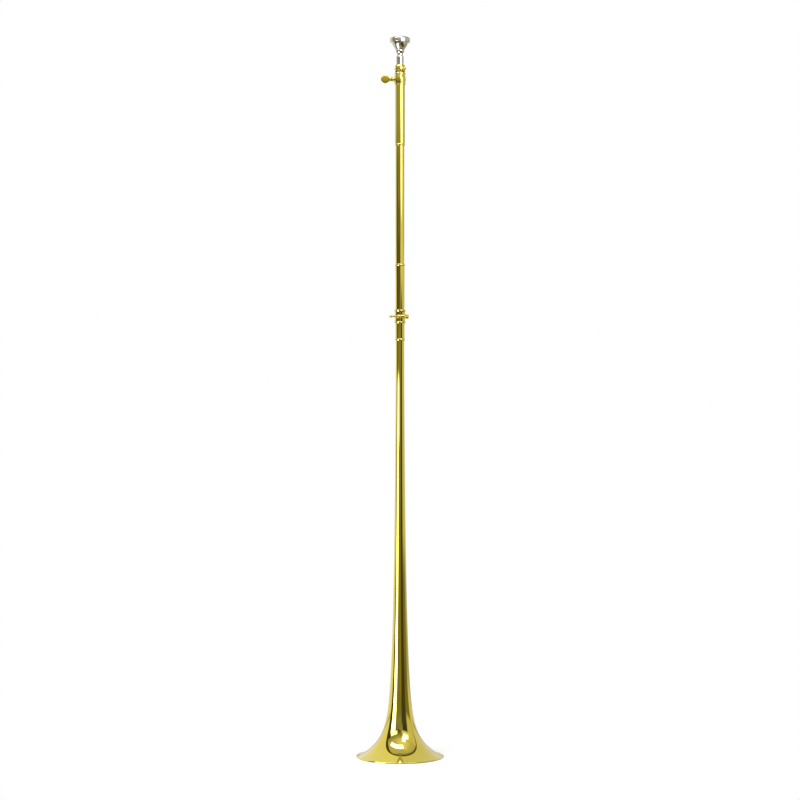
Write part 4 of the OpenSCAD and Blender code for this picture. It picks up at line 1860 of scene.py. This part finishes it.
@dataclass(frozen=True)
class Card:
    """A soft box near the horn, a curved sheet that only reflections show."""

    name: str
    left: float
    right: float
    distance: float
    low: float
    high: float
    level: float
    soft: float = 0.06
    tint: Colour = (1.0, 1.07, 1.6)
    columns: int = 24
    rows: int = 6

    def build(self) -> bpy.types.Object:
        """Makes the card.

        Returns:
            The card, shown only in reflections.
        """
        mesh = bpy.data.meshes.new(self.name)
        vertices, faces, marks = [], [], []
        for row in range(self.rows + 1):
            v = row / self.rows
            for column in range(self.columns + 1):
                u = column / self.columns
                angle = math.radians(self.left + (self.right - self.left) * u)
                vertices.append((self.distance * math.sin(angle), -self.distance * math.cos(angle),
                                 self.low + (self.high - self.low) * v))
                marks.append((u, v))
        above = self.columns + 1
        for row in range(self.rows):
            for column in range(self.columns):
                first = row * above + column
                faces.append((first, first + 1, first + above + 1, first + above))
        mesh.from_pydata(vertices, [], faces)
        layer = mesh.uv_layers.new(name="sheet")
        for loop in mesh.loops:
            layer.data[loop.index].uv = marks[loop.vertex_index]
        mesh.materials.append(self._material())
        card = Workshop.object_from(self.name, mesh)
        show_only_in_reflections(card)
        return card

    def _material(self) -> bpy.types.Material:
        """Builds the card's even light with soft edges.

        Returns:
            The finished material.
        """
        tree = MaterialTree(f"{self.name}_light")
        u, v, _ = tree.split(tree.out("ShaderNodeUVMap", 0, {"uv_map": "sheet"}))
        across = tree.math("MINIMUM", u, 1 - u)
        upward = tree.math("MINIMUM", v, 1 - v)
        mask = tree.smooth(across, 0.0, self.soft) * tree.smooth(upward, 0.0, self.soft)
        return tree.deliver(tree.over(mask, tree.clear(), tree.light((*self.tint, 1), self.level)))


@dataclass(frozen=True)
class Lamp:
    """A long lamp on the ceiling, in metres from the horn's axis."""

    left: float = -0.80
    right: float = 0.20
    front: float = -0.60
    back: float = -0.33
    height: float = 1.27
    level: float = 7.0
    across_blur: float = 0.16
    depth_blur: float = 0.06

    def cover(self, tree: Tree, x: Socket, y: Socket, up: Socket) -> Socket:
        """Gives 1 where a ray from the eye meets the lamp and 0 elsewhere, with soft edges.

        Args:
            tree: The room's tree.
            x: The place on the room's wall, here and in y.
            y: The place's depth.
            up: The place's height over the eye.

        Returns:
            The cover.
        """
        tall = tree.math("MAXIMUM", up, 0.05)
        return (band(tree, x / tall * self.height, self.left, self.right, self.across_blur)
                * band(tree, y / tall * self.height, self.front, self.back, self.depth_blur)
                * tree.smooth(up, 0.3, 0.5))


@dataclass(frozen=True)
class Hoop:
    """The dark hoop where the painted half of the room ends, by its tilt over the horn in degrees.

    The tilt is 0 to the left, 90 straight up and 180 to the right.
    """

    bend: float = 0.11
    bend_rate: float = math.radians(1.15)
    right_lean: float = 0.12
    width: float = 0.17
    crown_slim: float = 0.10
    left_gain: float = 0.17
    level: float = 0.06
    right_gain: float = 0.14
    blur: float = 0.03
    end_blur: float = 0.008

    def past(self, tree: Tree, depth: Socket, tilt: Socket) -> Socket:
        """Gives how far a direction lies behind the hoop."""
        bend = (1 - tree.math("COSINE", tilt * self.bend_rate)) * self.bend
        return depth - (bend - tree.smooth(tilt, 145, 180) * self.right_lean)

    def cover(self, tree: Tree, past: Socket, tilt: Socket) -> Socket:
        """Gives 1 on the hoop and 0 in front of it."""
        width = (self.width - tree.smooth(tilt, 50, 80) * self.crown_slim
                 + (1 - tree.smooth(tilt, 8, 32)) * self.left_gain)
        return tree.smooth(past + width, 0.0, self.blur)

    def tone(self, tree: Tree, tilt: Socket) -> Socket:
        """Gives the hoop's level, a little lighter at the right."""
        return self.level + tree.smooth(tilt, 140, 170) * self.right_gain


@dataclass
class Room:
    """The front half of the room round the horn, a round wall with a domed top that reflections show."""

    radius: float = 1.15
    bottom: float = -1.2
    wall_top: float = 1.3
    crown: float = 0.9
    eye: float = 0.03
    around: int = 72
    wall_rows: int = 8
    dome_rows: int = 14
    base_level: float = 0.3
    lamp: Lamp = Lamp()
    hoop: Hoop = Hoop()
    zones: Sequence[Zone] = ()

    def build(self) -> bpy.types.Object:
        """Makes the wall and its dome.

        Returns:
            The room, shown only in reflections.
        """
        around, climb = self.around, self.wall_top - self.bottom
        profile = [(self.radius, self.bottom + climb * i / self.wall_rows)
                   for i in range(self.wall_rows + 1)]
        profile += [(self.radius * math.cos(QUARTER * i / self.dome_rows),
                     self.wall_top + self.crown * math.sin(QUARTER * i / self.dome_rows))
                    for i in range(1, self.dome_rows)]
        vertices = [(r * math.cos(TAU * k / around), r * math.sin(TAU * k / around), z)
                    for r, z in profile for k in range(around)]
        vertices.append((0.0, 0.0, self.wall_top + self.crown))
        faces = []
        for row in range(len(profile) - 1):
            for k in range(around):
                after = (k + 1) % around
                faces.append((row * around + k, row * around + after,
                              (row + 1) * around + after, (row + 1) * around + k))
        last = (len(profile) - 1) * around
        faces += [(last + k, last + (k + 1) % around, len(vertices) - 1) for k in range(around)]
        mesh = bpy.data.meshes.new("room")
        mesh.from_pydata(vertices, [], faces)
        mesh.materials.append(self._material())
        room = Workshop.object_from("room", mesh)
        show_only_in_reflections(room)
        return room

    def _material(self) -> bpy.types.Material:
        """Paints the zones and the lamp, and ends the wall at a dark hoop with the bright back beyond.

        Returns:
            The finished material.
        """
        tree = MaterialTree("room_light")
        x, y, z = tree.split(tree.out("ShaderNodeTexCoord", "Object"))
        up = z - self.eye
        azimuth, _ = direction(tree, x, y, up)
        reach = tree.math("MAXIMUM", tree.reach(x, y), 0.001)
        height = up / reach * self.radius + self.eye
        level: Term = self.base_level
        for zone in self.zones:
            level = towards(level, zone.level, zone.cover(tree, azimuth, height))
        level = towards(level, self.lamp.level, self.lamp.cover(tree, x, y, up))

        tilt = tree.math("ABSOLUTE", tree.math("ARCTAN2", up, -x)) * DEGREES
        past = self.hoop.past(tree, y / tree.reach(reach, up), tilt)
        level = towards(level, self.hoop.tone(tree, tilt), self.hoop.cover(tree, past, tilt))

        # The dark parts near the ground are warmer and the bright parts are cooler
        ground = (1 - tree.smooth(height, 0.10, 0.30)) * (1 - tree.smooth(level, 0.5, 1.5))
        cool = tree.smooth(level, 0.7, 2.2) * 1.4
        tone = tree.vector(level, level * (1 - ground * 0.08 + cool * 0.06),
                           level * (1 - ground * 0.5 + cool))
        beyond = tree.smooth(past, -self.hoop.end_blur, self.hoop.end_blur)
        return tree.deliver(tree.over(beyond, tree.light(tone), tree.clear()))


def show_only_in_reflections(thing: bpy.types.Object) -> None:
    """Hides a stage object from everything but reflections.

    Args:
        thing: The object.
    """
    thing.visible_camera = False
    thing.visible_diffuse = False
    thing.visible_shadow = False
    thing.visible_transmission = False
    thing.visible_volume_scatter = False


@dataclass
class Studio:
    """The camera, the pale floor, the soft lights and the cards round the horn."""

    camera_distance: float = 2.857
    camera_height: float = 0.4757
    lens: float = 96.4
    floor_half: float = 6.0
    floor_tone: float = 0.93
    floor_lift: float = 0.12
    room_tone: float = 0.62

    def camera(self) -> None:
        """Sets the camera where the photograph was taken from."""
        data = bpy.data.cameras.new("camera")
        data.lens = self.lens
        data.sensor_width = 36.0
        data.clip_end = 50.0
        camera = bpy.data.objects.new("camera", data)
        camera.location = (0.0, -self.camera_distance, self.camera_height)
        camera.rotation_euler = (QUARTER, 0.0, 0.0)
        bpy.context.scene.collection.objects.link(camera)
        bpy.context.scene.camera = camera

    def build(self) -> None:
        """Builds the floor, the world, the lights, the room and the cards."""
        bpy.context.scene.view_settings.view_transform = "Standard"
        self._world()
        self._floor()
        self._lights()
        Room(zones=self._zones()).build()
        for card in self._cards():
            card.build()

    def _world(self) -> None:
        """Makes the world white to the camera, softer to the floor, and a lit back room to reflections."""
        world = bpy.data.worlds.new("studio")
        world.use_nodes = True
        bpy.context.scene.world = world
        tree = Tree(world.node_tree)
        azimuth, rise = direction(tree, *tree.split(tree.out("ShaderNodeTexCoord", "Generated")))
        aside = tree.math("ABSOLUTE", azimuth)
        right = tree.smooth(azimuth, -20, 20)
        level = 0.95 - right * 0.17
        left_dip = (1 - right) * band(tree, rise, 3.5, 6.9, 0.8)
        level = towards(level, 0.6, left_dip)
        low_right = right * (1 - tree.smooth(rise, -4.6, -2.6))
        level = towards(level, 0.34 + tree.smooth(aside, 110, 126) * 0.2, low_right)
        back = tree.smooth(aside + right * 34, 142, 160) * band(tree, rise, 3.8, 9.3, 1.0)
        level = towards(level, 0.45, back)
        under = 1 - tree.smooth(rise, -40, -20)
        level = towards(level, 0.5, under)
        camera, glossy = self._rays(tree, "Is Camera Ray", "Is Glossy Ray")
        tone = camera + (1 - camera) * (self.room_tone * (1 - glossy) + glossy * level)
        light = tree.out("ShaderNodeBackground", 0, None, {"Color": tree.vector(tone, tone, tone)})
        tree.node("ShaderNodeOutputWorld", None, {"Surface": light})

    @staticmethod
    def _rays(tree: Tree, *names: str) -> list[Socket]:
        """Gives outputs that are 1 for rays of the named kinds."""
        path = tree.node("ShaderNodeLightPath")
        return [Socket(tree, path.outputs[name]) for name in names]

    def _floor_material(self) -> bpy.types.Material:
        """Builds the floor's pale look, which fades into the white background and is clear from below.

        Returns:
            The finished material.
        """
        tree = MaterialTree("pale_floor")
        white = (1, 1, 1, 1)
        x, y, _ = tree.split(tree.out("ShaderNodeTexCoord", "Object"))
        far = tree.smooth(tree.reach(x, y), 0.12, 0.42)
        pale = tree.out("ShaderNodeBsdfDiffuse", 0, None, {"Color": (*(self.floor_tone,) * 3, 1)})
        near = tree.out("ShaderNodeAddShader", 0, None, {0: pale, 1: tree.light(white, self.floor_lift)})
        camera, glossy, passed = self._rays(tree, "Is Camera Ray", "Is Glossy Ray", "Is Transmission Ray")
        seen = tree.math("MINIMUM", camera + glossy + passed, 1.0)
        top = tree.over(far * seen, near, tree.light(white))
        back = tree.out("ShaderNodeNewGeometry", "Backfacing")
        return tree.deliver(tree.over(back, top, tree.clear()))

    def _floor(self) -> None:
        """Makes the pale floor, which keeps the horn's shadow and fades into the background."""
        mesh = bpy.data.meshes.new("floor")
        half = self.floor_half
        mesh.from_pydata([(-half, -half, 0), (half, -half, 0), (half, half, 0), (-half, half, 0)], [],
                         [(0, 1, 2, 3)])
        mesh.materials.append(self._floor_material())
        floor = Workshop.object_from("floor", mesh)
        floor.visible_glossy = False

    @staticmethod
    def _lights() -> None:
        """Hangs two large soft lights, which reflections see only as the cards."""
        for name, place, size, power in (("key", (-1.1, -1.3, 1.9), 1.6, 26.0),
                                         ("fill", (1.5, -0.9, 1.7), 1.8, 16.0)):
            data = bpy.data.lights.new(name, "AREA")
            data.shape = "SQUARE"
            data.size = size
            data.energy = power
            light = bpy.data.objects.new(name, data)
            light.location = place
            light.rotation_euler = (-Vector(place)).to_track_quat("-Z", "Y").to_euler()
            light.visible_glossy = False
            light.visible_camera = False
            bpy.context.scene.collection.objects.link(light)

    @staticmethod
    def _cards() -> list[Card]:
        """Lists the soft boxes that stand near the horn."""
        return [
            Card("left_box", -68, -34, 0.67, -0.25, 0.45, 6.5, 0.14),
            Card("left_patch", -66, -16, 0.68, 0.40, 0.53, 3.6, 0.22),
        ]

    @staticmethod
    def _zones() -> list[Zone]:
        """Lists what reflections see on the front wall, later patches over earlier ones."""
        return [
            Zone(-100, 100, -0.35, 0.30, 0.24, 6, 0.10),
            Zone(-100, 100, -40.0, -0.35, 0.45, 6, 0.30),
            Zone(-100, 5, 0.48, 0.62, 0.26, 8, 0.08),
            Zone(-100, 5, 0.62, 0.79, 0.12, 8, 0.05),
            Zone(-100, 5, 0.79, 0.85, 0.17, 8, 0.05),
            Zone(-100, 5, 0.85, 0.96, 0.27, 8, 0.06),
            Zone(-100, 5, 0.96, 1.25, 0.38, 8, 0.08),
            Zone(-100, 100, 1.20, 40.0, 0.60, 8, 0.16),
            Zone(-20, 60, 1.25, 4.50, 0.95, 60, 0.80),
            Zone(-100, -64, -0.30, 0.92, 0.05, 6, 0.12),
            Zone(-5, 20, 0.54, 0.66, 0.34, 10, 0.08),
            Zone(54, 110, 0.22, 1.25, 0.72, 12, 0.10),
            Zone(20, 54, 0.40, 0.70, 0.05, 10, 0.08),
            Zone(14, 54, -0.40, 0.44, 0.07, 12, 0.08),
            Zone(40, 74, -0.40, 0.06, 0.03, 10, 0.06),
            Zone(-5, 15, 0.02, 0.12, 0.28, 6, 0.03),
            Zone(14, 70, 0.68, 0.87, 0.90, 14, 0.10),
            Zone(26, 52, 0.85, 1.16, 6.0, 20, 0.10),
            Zone(17, 36, 1.02, 1.60, 5.5, 12, 0.16),
        ]


def main() -> None:
    """Builds the studio and the horn in order."""
    logging.basicConfig(level=logging.INFO, format="%(name)s %(message)s")
    studio = Studio()
    studio.camera()
    shop = Workshop(Finishes().materials())
    BellSection(shop).build()
    ClampScrew(shop, "clamp_screw", "clamp_knob", "clamp_screw_stem", "clamp_screw_knob",
               lying(middle_of("clamp_screw_stem", "y"), middle_of("joint_clamp"))).build()
    UpperSection(shop).build()
    ThumbScrew(shop, "thumb_screw", "thumb_head", "thumb_screw_stem", "thumb_screw_head",
               lying(0, middle_of("thumb_screw_head"), -1)).build()
    TuningSlide(shop).build()
    LockScrew(shop, "lock_screw", "lock_ball", "lock_screw_stem", "lock_screw_ball",
              lock_place(middle_of("lock_screw_ball"), TuningSlide.lock_turn), pitch=0.4).build()
    Mouthpiece(shop).build()
    studio.build()


if __name__ == "__main__":
    main()
